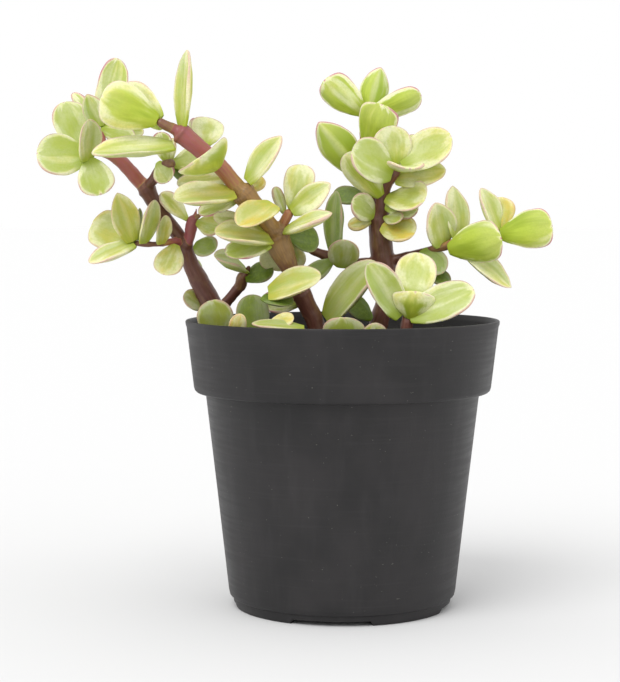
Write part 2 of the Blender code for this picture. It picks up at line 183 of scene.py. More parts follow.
for lift in sorted({round(notch_lift(vertex.co), 4) for vertex in pot.data.vertices} - {0.0}):
    take_up(pot)
    select_points(pot, lambda co: co.z < FOOT_EDGE * MM and abs(notch_lift(co) - lift) < 0.0001)
    bpy.ops.transform.resize(value=(1, 1, NOTCH_FLATNESS), center_override=pot_axis)
    bpy.ops.transform.translate(value=(0, 0, lift * MM))
bpy.ops.object.mode_set(mode="OBJECT")

DRAIN_CIRCLE = 27  # radius of the circle that the drain holes are on, one behind each notch
DRAIN_RADIUS = 4
DRILL_LENGTH = 8
for number in range(NOTCHES):
    turn = math.radians(NOTCH_TURN + 360 / NOTCHES * number)
    deselect_all()
    across = Vector((math.sin(turn) * DRAIN_CIRCLE, -math.cos(turn) * DRAIN_CIRCLE, DRILL_LENGTH / 2))
    bpy.ops.mesh.primitive_cylinder_add(
        vertices=40, radius=DRAIN_RADIUS * MM, depth=DRILL_LENGTH * MM, location=pot_axis + across * MM)
    drill = bpy.context.object
    apply_modifier(pot, "BOOLEAN", operation="DIFFERENCE", solver="EXACT", object=drill)
    bpy.data.objects.remove(drill)
take_up(pot)
SHARPEST_SMOOTH = 40  # degrees between faces past which an edge of the pot stays sharp
bpy.ops.object.shade_smooth_by_angle(angle=math.radians(SHARPEST_SMOOTH))


def paint(code):
    """The linear colour of a web colour code."""
    parts = [int(code[k:k + 2], 16) / 255 for k in (0, 2, 4)]
    return (*[c / 12.92 if c < 0.04045 else ((c + 0.055) / 1.055) ** 2.4 for c in parts], 1.0)


def add_node(tree, kind, inputs, **settings):
    """A shader node with its settings, whose inputs take plain values or other nodes' outputs."""
    node = tree.nodes.new(kind)
    for setting, value in settings.items():
        setattr(node, setting, value)
    for name, value in inputs.items():
        if isinstance(value, bpy.types.NodeSocket):
            tree.links.new(value, node.inputs[name])
        else:
            node.inputs[name].default_value = value
    return node


def new_material(name, **sockets):
    """A material, its node tree and its Principled shader with plain values on the named sockets."""
    material = bpy.data.materials.new(name)
    material.use_nodes = True
    shader = material.node_tree.nodes["Principled BSDF"]
    for socket, value in sockets.items():
        shader.inputs[socket.replace("_", " ")].default_value = value
    return material, material.node_tree, shader


def mix(tree, factor, first, second):
    """A colour between two others."""
    node = tree.nodes.new("ShaderNodeMix")
    node.data_type = "RGBA"
    for socket, value in ((node.inputs[0], factor), (node.inputs[6], first), (node.inputs[7], second)):
        if isinstance(value, bpy.types.NodeSocket):
            tree.links.new(value, socket)
        else:
            socket.default_value = value
    return node.outputs[2]


def sums(tree, operation, first, second=0.0):
    """The result of one Math node."""
    node = tree.nodes.new("ShaderNodeMath")
    node.operation = operation
    for socket, value in zip(node.inputs, (first, second)):
        if isinstance(value, bpy.types.NodeSocket):
            tree.links.new(value, socket)
        else:
            socket.default_value = value
    return node.outputs[0]


def ease(tree, value, low, high, to_low=0.0, to_high=1.0):
    """A smooth step from to_low, where value is at low, to to_high, where it is at high."""
    node = tree.nodes.new("ShaderNodeMapRange")
    node.interpolation_type = "SMOOTHSTEP"
    for socket, given in zip(node.inputs, (value, low, high, to_low, to_high)):
        if isinstance(given, bpy.types.NodeSocket):
            tree.links.new(given, socket)
        else:
            socket.default_value = given
    return node.outputs[0]


def noise(tree, place, size, detail=3.0, roughness=0.55):
    """A noise value whose lumps are about size metres across, in (x, y, z), over a place."""
    stretch = add_node(tree, "ShaderNodeMapping", {"Vector": place, "Scale": [1 / s for s in size]})
    return add_node(tree, "ShaderNodeTexNoise", {
        "Vector": stretch.outputs[0], "Scale": 1.0, "Detail": detail, "Roughness": roughness}).outputs[0]


PLASTIC_DARK = paint("201f20")
PLASTIC_LIGHT = paint("2b292a")
PLASTIC_SCUFF = paint("383637")
PLASTIC_FLOW = paint("403e3f")
DUST_FLECK = paint("6a6862")


def plastic_material():
    """Black plastic, a little cloudy, with fine flow lines round it, upright scuffs and specks of dust."""
    material, tree, shader = new_material("pot_plastic", Specular_IOR_Level=0.32)
    place = add_node(tree, "ShaderNodeTexCoord", {}).outputs["Object"]
    clouding = noise(tree, place, (0.022, 0.022, 0.03), 4)
    flow_lines = noise(tree, place, (0.03, 0.03, 0.0012), 3)
    scuffs = noise(tree, place, (0.006, 0.006, 0.05), 3)
    grain = noise(tree, place, (0.0008, 0.0008, 0.0008), 2)
    flecks = noise(tree, place, (0.0011, 0.0011, 0.0007), 1)
    body = mix(tree, ease(tree, clouding, 0.35, 0.68), PLASTIC_DARK, PLASTIC_LIGHT)
    body = mix(tree, ease(tree, scuffs, 0.5, 0.75, 0, 0.25), body, PLASTIC_SCUFF)
    body = mix(tree, ease(tree, flow_lines, 0.52, 0.7, 0, 0.12), body, PLASTIC_FLOW)
    body = mix(tree, ease(tree, flecks, 0.775, 0.79, 0, 0.6), body, DUST_FLECK)
    tree.links.new(body, shader.inputs["Base Color"])
    clouded = ease(tree, clouding, 0.3, 0.7, 0.44, 0.56)
    lined = ease(tree, flow_lines, 0.3, 0.7, -0.04, 0.04)
    tree.links.new(sums(tree, "ADD", clouded, lined), shader.inputs["Roughness"])
    bump = add_node(tree, "ShaderNodeBump", {"Height": grain, "Strength": 0.12, "Distance": 0.0002})
    tree.links.new(bump.outputs[0], shader.inputs["Normal"])
    return material


pot.data.materials.append(plastic_material())
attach(pot, "root")
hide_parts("pot")

# ---------------------------------------------------------------- soil
# Moist peat potting mix that fills the pot to about 12 mm under the rim, heaped a little in the middle.
# It was filled in loose and pressed round the roots, and the stems stand in it.
SOIL_EDGE = 84.2
SOIL_RADIUS = 48.4
SOIL_CROWN = 2.4  # how much higher the middle is than the edge
SOIL_SLOPE = 47  # how far in from the edge the top of the heap is


def soil_height(radius):
    """The height in mm of the soil's top at a distance in mm from the pot's axis."""
    share = min(1.0, max(0.0, (SOIL_RADIUS - radius) / SOIL_SLOPE))
    return SOIL_EDGE + SOIL_CROWN * math.sin(math.pi / 2 * share)


soil_top = [(SOIL_RADIUS - inwards, soil_height(SOIL_RADIUS - inwards)) for inwards in range(SOIL_SLOPE + 1)]
soil = turn_up("potting_mix", [
    (18, FLOOR_TOP + 0.3), (34.5, FLOOR_TOP + 0.4), (36.2, FLOOR_TOP + 2.4), (44.2, COLLAR_FOOT - 0.4),
    (47.7, COLLAR_FOOT + 2.2), (49.2, SOIL_EDGE - 0.8), *soil_top], segments=160)

top_group = soil.vertex_groups.new(name="top")
for vertex in soil.data.vertices:
    height = vertex.co.z / MM
    if height > SOIL_EDGE - 0.1:
        top_group.add([vertex.index], 1.0, "REPLACE")
SOIL_LUMPS = ((9, 1.3), (3, 0.9), (1.3, 0.6))  # how wide and how deep
for lump, depth in SOIL_LUMPS:
    lumps = bpy.data.textures.new("lumps", "CLOUDS")
    lumps.noise_scale = lump * MM
    apply_modifier(soil, "DISPLACE", texture=lumps, texture_coords="LOCAL", direction="Z",
                   strength=depth * MM, mid_level=0.6, vertex_group="top")
take_up(soil)
bpy.ops.object.shade_smooth()


def soil_material(name, dark, light, grain_size, roughness):
    """A crumbly matt finish between two colour codes, with its grain in metres."""
    material, tree, shader = new_material(name, Roughness=roughness, Specular_IOR_Level=0.2)
    place = add_node(tree, "ShaderNodeTexCoord", {}).outputs["Object"]
    patches = noise(tree, place, (0.006, 0.006, 0.006), 4)
    grain = noise(tree, place, (grain_size,) * 3, 5, 0.7)
    colour = mix(tree, ease(tree, grain, 0.35, 0.68), paint(dark), paint(light))
    colour = mix(tree, ease(tree, patches, 0.4, 0.7, 0, 0.5), colour, paint(dark))
    tree.links.new(colour, shader.inputs["Base Color"])
    bump = add_node(tree, "ShaderNodeBump", {"Height": grain, "Strength": 0.8, "Distance": 0.0005})
    tree.links.new(bump.outputs[0], shader.inputs["Normal"])
    return material


peat_look = soil_material("peat", "1d1410", "4a3527", 0.0009, 0.95)
soil.data.materials.append(peat_look)
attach(soil, "root")
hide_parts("soil")

# ---------------------------------------------------------------- grains on the soil
# What lies loose on top of the potting mix: dark crumbs of peat, flat chips of bark and white grains of
# perlite, pressed a little way in. Each kind is one piece, and none lies where a stem comes up.
STEM_FEET = [(-35.6, 9), (-8.2, -10), (11.8, 8), (19.5, -25)]  # where stems leave the soil
STEM_CLEARANCE = 5.5
GRAIN_FIELD = 47.0  # radius of the round that the grains lie in
GRAIN_LIMIT = 47.6  # radius that no grain reaches past
GRAIN_SINK = 0.25  # how deep a flat grain is pressed in
GRAIN_RISE = 0.25  # how far a grain stands out again, as a share of its thickness


def scatter(name, count, sizes, flatness, seed, look):
    """Grains of one kind lying on the soil: each is a copy of one roughened grain, and all are one piece."""
    deselect_all()
    bpy.ops.mesh.primitive_ico_sphere_add(subdivisions=2, radius=1.0)
    grain = bpy.context.object
    roughen = bpy.data.textures.new(name, "CLOUDS")
    roughen.noise_scale = 0.7
    apply_modifier(grain, "DISPLACE", texture=roughen, texture_coords="LOCAL", strength=0.7, mid_level=0.5)
    draw = random.Random(seed)
    copies = []
    while len(copies) < count:
        radius = GRAIN_FIELD * math.sqrt(draw.random())
        turn = draw.uniform(0, 2 * math.pi)
        x, y = radius * math.cos(turn), radius * math.sin(turn)
        size = draw.uniform(*sizes)
        spin = [draw.uniform(-0.5, 0.5), draw.uniform(-0.5, 0.5), draw.uniform(0, 6.28)]
        from_stem = min(math.hypot(x - foot_x, y - foot_y) for foot_x, foot_y in STEM_FEET)
        if from_stem < STEM_CLEARANCE or radius + size > GRAIN_LIMIT:
            continue
        copy = grain.copy()
        copy.data = grain.data.copy()
        bpy.context.scene.collection.objects.link(copy)
        copy.scale = Vector((1, draw.uniform(0.6, 1), flatness)) * size * MM
        copy.rotation_euler = spin
        height = soil_height(radius) - GRAIN_SINK + GRAIN_RISE * size * flatness
        copy.location = pot_axis + Vector((x, y, height)) * MM
        copies.append(copy)
    bpy.data.objects.remove(grain)
    deselect_all()
    for copy in copies:
        copy.select_set(True)
    bpy.context.view_layer.objects.active = copies[0]
    bpy.ops.object.join()
    grains = bpy.context.object
    bpy.ops.object.transform_apply(location=True, rotation=True, scale=True)
    grains.name = grains.data.name = name
    bpy.ops.object.shade_smooth()
    grains.data.materials.append(look)
    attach(grains, "root")


bark_chip_look = soil_material("bark_chip", "3a2417", "7d583a", 0.0012, 0.85)
perlite_look = soil_material("perlite", "bdb8ad", "ece9e2", 0.0006, 0.8)
scatter("peat_crumbs", 520, sizes=(0.5, 1.7), flatness=0.75, seed=3, look=peat_look)
scatter("bark_chips", 46, sizes=(1.4, 3.2), flatness=0.3, seed=5, look=bark_chip_look)
scatter("perlite_grains", 54, sizes=(0.6, 1.3), flatness=0.85, seed=8, look=perlite_look)

# ---------------------------------------------------------------- stems
# Three living stems and a short shoot, half woody and smooth skinned, rooted in the soil. Each swells into a
# ring where a pair of leaves left it, and its twigs grow out of it, so stem and twigs are one piece of wood.
# A run is a list of (x, y, z, radius, ripeness). Ripeness is 0 on old brown skin and 1 on young purple skin.
STEM_STEP = 0.6  # mm between the sections of a stem
STEM_VOXEL = 0.38
RING_SWELL = 0.05  # share of the stem's radius that a ring stands out, and that the groove above it goes in
RING_WIDTH = 0.9
GROOVE_ABOVE = 0.7  # how far the groove is past the ring
GROOVE_WIDTH = 0.4
SCAR_WIDTH = 0.55  # of the dark line left on a ring
END_SHARE = 0.55  # share of its radius that a run has at its very end
END_TAPER = 0.5  # share that it gains with each mm from there
WRINKLE_SIZE = 3.5
WRINKLE_DEPTH = 0.45
RUN_SPACING = 200  # keeps the bark pattern of each run apart from the last one's


def smooth_run(run):
    """A smooth curve through a run, with a point every STEM_STEP mm as (place, radius, ripeness, distance
    along), and the distance along of each of the run's own points."""
    rows = [Vector(row[:3]) for row in run]
    extra = [row[3:] for row in run]
    rows = [rows[0] * 2 - rows[1], *rows, rows[-1] * 2 - rows[-2]]
    points, stations, along = [], [], 0.0
    for k in range(1, len(rows) - 2):
        stations.append(along)
        before, start, stop, after = rows[k - 1:k + 3]
        steps = max(1, round((stop - start).length / STEM_STEP))
        for step in range(steps + (k == len(rows) - 3)):
            t = step / steps
            place = 0.5 * ((2 * start) + (stop - before) * t
                           + (2 * before - 5 * start + 4 * stop - after) * t * t
                           + (3 * start - before - 3 * stop + after) * t ** 3)
            eased = t * t * (3 - 2 * t)
            radius, ripeness = [low + (high - low) * eased for low, high in zip(extra[k - 1], extra[k])]
            if points:
                along += (place - points[-1][0]).length
            points.append((place, radius, ripeness, along))
    return points, [*stations, along]


def bell(distance, width):
    """1 at no distance, which dies away over the width."""
    return math.exp(-(distance / width) ** 2)


def grow_stem(name, runs, rings, look, node):
    """One stem with its twigs. rings lists (run, which of its points) for each ring round the stem."""
    tubes, samples = [], []
    for index, run in enumerate(runs):
        points, stations = smooth_run(run)
        run_rings = [stations[at] for which, at in rings if which == index]
        data = bpy.data.curves.new(name, "CURVE")
        data.dimensions = "3D"
        data.bevel_depth = MM
        data.bevel_resolution = 6
        data.use_fill_caps = True
        spline = data.splines.new("POLY")
        spline.points.add(len(points) - 1)
        for k, (place, radius, ripeness, along) in enumerate(points):
            swelling = sum(RING_SWELL * bell(along - at, RING_WIDTH)
                           - RING_SWELL * bell(along - at - GROOVE_ABOVE, GROOVE_WIDTH) for at in run_rings)
            taper = min(1.0, END_SHARE + END_TAPER * (points[-1][3] - along))
            spline.points[k].co = (*(pot_axis + place * MM), 1.0)
            spline.points[k].radius = radius * (1 + swelling) * taper
            ahead = points[min(k + 1, len(points) - 1)][0] - points[max(k - 1, 0)][0]
            scar = max([bell(along - at, SCAR_WIDTH) for at in run_rings], default=0.0)
            samples.append((place, ahead.normalized(), along + RUN_SPACING * index, ripeness, scar, radius))
        tube = bpy.data.objects.new(name, data)
        bpy.context.scene.collection.objects.link(tube)
        tubes.append(tube)
    deselect_all()
    for tube in tubes:
        tube.select_set(True)
    bpy.context.view_layer.objects.active = tubes[0]
    bpy.ops.object.convert(target="MESH")
    if len(tubes) > 1:
        bpy.ops.object.join()
    stem = bpy.context.object
    stem.name = stem.data.name = name
    apply_modifier(stem, "REMESH", mode="VOXEL", voxel_size=STEM_VOXEL * MM, use_smooth_shade=True)
    apply_modifier(stem, "SMOOTH", factor=0.5, iterations=3)
    wrinkles = bpy.data.textures.new(name, "CLOUDS")
    wrinkles.noise_scale = WRINKLE_SIZE * MM
    apply_modifier(stem, "DISPLACE", texture=wrinkles, texture_coords="LOCAL",
                   strength=WRINKLE_DEPTH * MM, mid_level=0.5)
    mark_bark(stem, samples)
    stem.data.materials.append(look)
    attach(stem, "root")
    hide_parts(node)


def mark_bark(stem, samples):
    """Writes on each point where it lies on the straightened stem, how ripe it is, and how near a scar."""
    centres, directions, distances, ripenesses, scars, radii = zip(*samples)
    mesh = stem.data
    count = len(mesh.vertices)
    places = np.empty(count * 3)
    mesh.vertices.foreach_get("co", places)
    places = (places.reshape(-1, 3) - np.array(pot_axis)) / MM
    centre_rows = np.array([tuple(centre) for centre in centres])
    nearest = np.empty(count, int)
    batch = 4000
    for start in range(0, count, batch):
        part = places[start:start + batch]
        gaps = np.linalg.norm(part[:, None] - centre_rows[None], axis=2) - np.array(radii)[None]
        nearest[start:start + batch] = gaps.argmin(1)
    up = Vector((0, 0, 1))
    upright = [direction.rotation_difference(up).to_matrix() for direction in directions]
    straight = np.empty((count, 3))
    state = np.empty((count, 3))
    for point, sample in enumerate(nearest):
        offset = upright[sample] @ (Vector(places[point]) - centres[sample])
        straight[point] = (offset.x, offset.y, distances[sample] + offset.z)
        state[point] = (ripenesses[sample], scars[sample], 0.0)
    for key, rows in (("bark_place", straight), ("bark_state", state)):
        mark = mesh.attributes.new(key, "FLOAT_VECTOR", "POINT")
        mark.data.foreach_set("vector", rows.ravel())


BARK_TONES = (  # ripeness and colour, from old brown skin through tan to young purple skin
    (0.0, "54351f"), (0.13, "623a31"), (0.3, "744a3e"), (0.45, "87693f"), (0.6, "a07a46"), (0.8, "975346"),
    (1.0, "945055"))
CORKY_TAN = paint("8b7040")
FIBRE_PALE = paint("ae8064")
PORE_BROWN = paint("553328")
SCAR_BROWN = paint("5c3a2c")


def bark_material():
    """Thin skin over green wood: its tone follows ripeness, with fibres along it, corky patches and pores."""
    material, tree, shader = new_material("stem_bark", Specular_IOR_Level=0.42)
    place = add_node(tree, "ShaderNodeAttribute", {}, attribute_name="bark_place").outputs["Vector"]
    state = add_node(tree, "ShaderNodeAttribute", {}, attribute_name="bark_state").outputs["Vector"]
    ripe, scar, _ = add_node(tree, "ShaderNodeSeparateXYZ", {"Vector": state}).outputs
    fibres = noise(tree, place, (0.7, 0.7, 9), 4)
    patches = noise(tree, place, (2.6, 2.6, 6), 3)
    pores = noise(tree, place, (0.35, 0.35, 0.35), 2)
    tone = sums(tree, "ADD", ripe, ease(tree, fibres, 0.3, 0.7, -0.07, 0.07))
    ramp = add_node(tree, "ShaderNodeValToRGB", {"Fac": tone})
    while len(ramp.color_ramp.elements) < len(BARK_TONES):
        ramp.color_ramp.elements.new(0.5)
    for element, (position, code) in zip(ramp.color_ramp.elements, BARK_TONES):
        element.position = position
        element.color = paint(code)
    colour = ramp.outputs[0]
    colour = mix(tree, ease(tree, patches, 0.5, 0.7, 0, 0.25), colour, CORKY_TAN)
    colour = mix(tree, ease(tree, fibres, 0.56, 0.74, 0, 0.1), colour, FIBRE_PALE)
    colour = mix(tree, ease(tree, pores, 0.6, 0.75, 0, 0.2), colour, PORE_BROWN)
    colour = mix(tree, sums(tree, "MULTIPLY", scar, 0.3), colour, SCAR_BROWN)
    tree.links.new(colour, shader.inputs["Base Color"])
    tree.links.new(ease(tree, patches, 0.3, 0.7, 0.32, 0.46), shader.inputs["Roughness"])
    relief = sums(tree, "ADD", fibres, sums(tree, "MULTIPLY", pores, 0.35))
    bump = add_node(tree, "ShaderNodeBump", {"Height": relief, "Strength": 0.15, "Distance": 0.0003})
    tree.links.new(bump.outputs[0], shader.inputs["Normal"])
    return material


bark_look = bark_material()
grow_stem("left_stem", [
    # the stem itself
    [(-35, 10, 66, 4.0, 0.1), (-37.3, 9, 85, 4.0, 0.1), (-42, 8.6, 96, 3.8, 0.12),
     (-45.4, 8.5, 102.8, 3.6, 0.14), (-48.7, 7.5, 109.5, 3.3, 0.16), (-51, 7, 114, 2.8, 0.2),
     (-52.2, 6.5, 118.6, 2.4, 0.2), (-53.2, 6, 121.2, 2.9, 0.2), (-54.2, 5.8, 122.6, 2.45, 0.12),
     (-55.9, 5.5, 125.1, 2.4, 0.1), (-60, 5, 130.4, 2.4, 0.1), (-63.3, 4, 135.4, 2.6, 0.12),
     (-65.6, 3.2, 139.6, 3.1, 0.15), (-66.7, 3, 140.9, 2.6, 0.7), (-67.9, 2.8, 142.1, 2.4, 0.8),
     (-73.7, 1, 148.6, 2.35, 0.9), (-78.2, 0.5, 151.6, 2.0, 0.85), (-82.4, 0, 152.4, 1.7, 0.7),
     (-85.2, -0.5, 151, 1.2, 0.5)],
    # the twig that goes left
    [(-52.8, 6, 120.8, 1.4, 0.95), (-56, 3, 122, 1.3, 0.95), (-59, 1.2, 121.8, 1.15, 0.7),
     (-61, 0.6, 121.3, 1.0, 0.3), (-66, -1, 121.3, 1.0, 0.25), (-69.4, -1.5, 121.6, 1.0, 0.3)],
    # the purple twig that stands up on the right
    [(-52.3, 6, 120.6, 1.7, 1), (-51.2, 4, 123.6, 1.7, 1), (-50.8, 3, 126.6, 2.1, 1),
     (-49.7, 1.6, 129.8, 1.8, 0.95), (-49.2, 1.2, 130.8, 1.0, 0.8)],
    # its bud
    [(-49.6, 1.5, 129.8, 0.6, 0.9), (-48.7, 1, 133.3, 0.4, 0.9)],
    # the stalk of its leaf
    [(-49.4, 1.2, 129.8, 1.0, 0.5), (-47.2, -0.8, 131.2, 0.8, 0.4)],
    # the twig near the top, which comes forward
    [(-65.3, 3, 140.3, 1.9, 0.1), (-62.3, -2, 143.4, 1.8, 0.1), (-59.4, -7.5, 146.6, 1.9, 0.15),
     (-56.5, -12, 147.6, 1.7, 0.3), (-55.4, -15, 147.6, 1.0, 0.4)],
    # the young shoot at the top
    [(-79.5, 0.5, 152.6, 1.3, 0.8), (-80.3, 3, 156.5, 1.2, 0.85), (-80.8, 4, 159.7, 1.0, 0.85)],
    # the low twig that goes right
    [(-43, 8, 97, 1.9, 0.1), (-39.3, 5, 101.2, 1.8, 0.15), (-35.2, 1, 106.2, 1.8, 0.2),
     (-34, 0, 107.6, 2.1, 0.4), (-33.3, -3, 110.2, 2.0, 0.4), (-31.8, -5, 112.2, 1.0, 0.15),
     (-30.8, -6, 114.2, 0.7, 0.15)],
    # the lowest twig, which comes forward over the soil
    [(-38.3, 9, 86, 1.8, 0), (-39, 0, 88.4, 1.8, 0), (-39.8, -9, 89.6, 1.5, 0),
     (-40.3, -14.5, 91.8, 1.0, 0)],
    # its thin end, under the rim
    [(-39.8, -8, 89.4, 1.3, 0), (-38.6, -18, 88.4, 1.2, 0), (-36.4, -28, 88.6, 1.1, 0),
     (-35, -33.4, 90.6, 0.8, 0)],
], rings=[(0, 7), (0, 12), (1, 3), (7, 3)], look=bark_look, node="stem_left")
grow_stem("middle_stem", [
    # the stem itself
    [(-5, -9, 66, 3.3, 0.15), (-6.6, -10.4, 84, 3.3, 0.15), (-9.2, -11.5, 95.9, 3.0, 0.2),
     (-11.3, -12, 100.3, 3.0, 0.2), (-13.8, -13, 105.6, 3.3, 0.25), (-14.6, -13.4, 107.2, 2.7, 0.3),
     (-16.8, -14.5, 112.1, 2.75, 0.34), (-20.5, -15.6, 120.4, 4.2, 0.48),
     (-22, -16.2, 124.3, 4.6, 0.5), (-22.8, -16.6, 125.8, 2.9, 0.56), (-24.7, -17.5, 128.7, 2.8, 0.55),
     (-28.6, -18.5, 133.2, 3.6, 0.52), (-32.5, -20, 138.0, 4.0, 0.52), (-34, -20.5, 139.6, 2.8, 0.62),
     (-36.6, -21.2, 142.8, 2.6, 0.68), (-39.6, -22, 146.3, 2.7, 0.75),
     (-45.4, -22.7, 151.5, 2.95, 0.88), (-50.6, -23.2, 155.8, 3.2, 0.95),
     (-52.4, -23.3, 157.2, 3.4, 0.95), (-53.6, -23.5, 158, 1.8, 0.5), (-56.4, -23.8, 159.3, 1.7, 0.35),
     (-59.6, -24, 160.9, 1.45, 0.35)],
    # the twig on its right
    [(-21, -16, 123.4, 2.0, 0.5), (-19.3, -16, 128.5, 1.7, 0.7), (-17.2, -16, 132.6, 1.7, 0.7)],
    # the twig that comes forward from half way up
    [(-13.5, -12.5, 103.8, 1.5, 0.3), (-18, -15, 104.6, 1.4, 0.3), (-22.8, -20, 105, 1.2, 0.3),
     (-23.6, -22.6, 105.4, 0.9, 0.3)],
    # the lowest twig, which goes left
    [(-8.5, -10.5, 88, 1.8, 0), (-16, -15, 88.8, 1.7, 0), (-24, -16.5, 89.8, 1.5, 0),
     (-28.8, -16, 92, 1.0, 0)],
    # the low twig that comes forward over the soil
    [(-8, -11, 87.6, 1.6, 0), (-12, -20, 88.4, 1.4, 0), (-15.5, -29, 91, 1.3, 0),
     (-13, -36, 94, 1.0, 0), (-12.8, -38, 95.4, 0.8, 0)],
    # its side twig
    [(-15, -28, 90.6, 1.2, 0), (-20, -31.5, 92.4, 1.1, 0), (-25, -33.6, 94.6, 0.8, 0)],
], rings=[(0, 4), (0, 8), (0, 12), (0, 18), (1, 1)], look=bark_look, node="stem_middle")
grow_stem("right_stem", [
    # the stem itself, up to its crown
    [(12, 9, 66, 3.6, 0.05), (11.8, 8, 84, 3.6, 0.05), (12.4, 8, 94, 3.3, 0.05),
     (15.2, 8, 103, 3.0, 0.4), (16.4, 8, 107, 3.1, 0.5), (16.2, 8, 110.4, 3.4, 0.5),
     (15.2, 8, 111.6, 3.9, 0.25), (14.2, 8, 114.5, 4.1, 0.12), (13.3, 8, 120, 4.0, 0.06),
     (12.8, 8, 127, 3.8, 0.06), (12.8, 7.5, 130.5, 3.7, 0.1), (13.2, 6.4, 133, 2.9, 0.1),
     (13.6, 5, 138, 2.3, 0.15), (15, 3, 142, 2.2, 0.2), (17.4, 1, 145.4, 2.1, 0.25),
     (18.3, 0.6, 147.6, 1.3, 0.3)],
    # the young fork that goes straight up
    [(12.8, 7.5, 130.5, 2.2, 0.5), (10.6, 8, 136, 2.0, 0.85), (8.8, 7, 143, 1.6, 0.95),
     (7.5, 6, 152, 1.4, 1), (7, 5, 160, 1.3, 1), (7.3, 5, 165.5, 1.2, 0.95)],
    # the twig that goes left
    [(14.4, 8, 114.5, 1.9, 0.1), (8, 7, 114.8, 1.8, 0.1), (2, 5, 114.8, 1.6, 0.1),
     (-3.5, 4, 116.6, 1.9, 0.15), (-8.5, 3, 118.5, 1.6, 0.15), (-11.5, 2, 119, 1.0, 0.15)],
    # the twig that goes right
    [(14.4, 8, 114.8, 2.2, 0.1), (20, 6, 116.5, 1.6, 0.2), (26.5, 3, 118.4, 1.3, 0.2),
     (33, -1, 120.2, 1.5, 0.4), (38, -2, 121.4, 1.3, 0.4), (45, -3, 123.2, 1.1, 0.4),
     (52.4, -4, 125.2, 1.0, 0.3)],
    # its bud
    [(33.4, -1.6, 120.4, 1.0, 0.6), (36.8, -3.4, 123.2, 0.4, 0.8)],
], rings=[(0, 5), (0, 10), (2, 3), (3, 1), (3, 3)], look=bark_look, node="stem_right")
grow_stem("front_shoot", [
    # the shoot itself
    [(19, -24, 72, 2.0, 0), (19.5, -25, 84, 2.2, 0.1), (20, -26, 94, 2.1, 0.2),
     (20.8, -26, 99, 1.9, 0.3), (22, -24.5, 104.5, 1.4, 0.4)],
    # its low twig, which goes left over the soil
    [(19.3, -25.4, 87, 1.4, 0.1), (14.5, -29, 87, 1.3, 0.1), (9.6, -31.2, 87.6, 1.3, 0.1),
     (4.5, -32, 87, 1.2, 0.1), (0, -31.2, 87.6, 1.0, 0.1)],
], rings=[(0, 3)], look=bark_look, node="shoot_front")

# ---------------------------------------------------------------- leaves
# Fleshy leaves about 2 mm thick, each grown straight on its stem. Chlorophyll is missing from their edges, so
# they have cream margins, green middles that run out in streaks, and a fine pink line round the tip. Leaves
# within the plant are darkened with painted shade, and a folded leaf has painted shade on one side and a
# painted highlight along its middle.
LEAF_RINGS = 26
LEAF_SIDES = 28
LEAF_THICKNESS = 2.3
UPPER_BULGE = 0.75  # the upper side bulges this share of what the under side does


def leaf_half_width(t, broadest, neck, swell, blunt, point):
    """Half the width, at a share t of its length, of a leaf one unit wide."""
    if t < broadest:
        return 0.5 * (neck + (1 - neck) * math.sin(math.pi / 2 * t / broadest) ** swell)
    return 0.5 * max(0.0, 1 - ((t - broadest) / (1 - broadest)) ** blunt) ** point


def leaf_pattern(name, shape):
    """A flat leaf one unit long, wide and thick: it stands on its foot with its upper side towards +Y."""
    deselect_all()
    bpy.ops.mesh.primitive_uv_sphere_add(segments=LEAF_SIDES, ring_count=LEAF_RINGS, radius=0.5)
    pattern = bpy.context.object
    pattern.name = pattern.data.name = name
    across = pattern.data.attributes.new("leaf_place", "FLOAT_VECTOR", "POINT")
    heights = sorted({round(vertex.co.z, 5) for vertex in pattern.data.vertices})
    for vertex, mark in zip(pattern.data.vertices, across.data):
        ring = math.hypot(vertex.co.x, vertex.co.y) or 1.0
        mark.vector = (vertex.co.x / ring, vertex.co.z + 0.5, vertex.co.y / ring)
    for height in heights[1:-1]:
        t = height + 0.5
        wide = leaf_half_width(t, *shape) / math.sqrt(t * (1 - t))
        bulge = min(1.0, 0.8 + 0.6 * t) * min(1.0, 1.9 * (1 - t) ** 0.6)
        thick = bulge / math.sqrt(4 * t * (1 - t))
        select_points(pattern, lambda co: abs(co.z - height) < 0.0001)
        bpy.ops.transform.resize(value=(wide, thick, 1), center_override=(0, 0, height))
    select_points(pattern, lambda co: co.y > 0)
    bpy.ops.transform.resize(value=(1, UPPER_BULGE, 1), center_override=(0, 0, 0))
    bpy.ops.mesh.select_all(action="SELECT")
    bpy.ops.transform.translate(value=(0, 0, 0.5))
    bpy.ops.object.mode_set(mode="OBJECT")
    bpy.ops.object.shade_smooth()
    pattern.hide_render = True
    return pattern


# where along the leaf it is broadest, how wide its foot is, how fast it widens (1 is straight), how blunt its
# end is, and how pointed its very tip is (0.5 is round)
PATTERNS = {
    "spoon": (0.62, 0.26, 1.05, 2.3, 0.5),
    "fan": (0.68, 0.28, 0.95, 2.7, 0.5),
    "round": (0.55, 0.36, 0.85, 2.4, 0.5),
    "long": (0.52, 0.42, 0.80, 1.9, 0.55),
    "drop": (0.52, 0.38, 0.85, 1.8, 0.75),
}
OUTLINE_STEPS = 60
LEAF_OUTLINES = {
    kind: [(side * leaf_half_width(t, *shape), t)
           for t in np.linspace(0, 1, OUTLINE_STEPS) for side in (-1, 1)]
    for kind, shape in PATTERNS.items()}
leaf_patterns = {kind: leaf_pattern(f"{kind}_leaf_pattern", shape) for kind, shape in PATTERNS.items()}
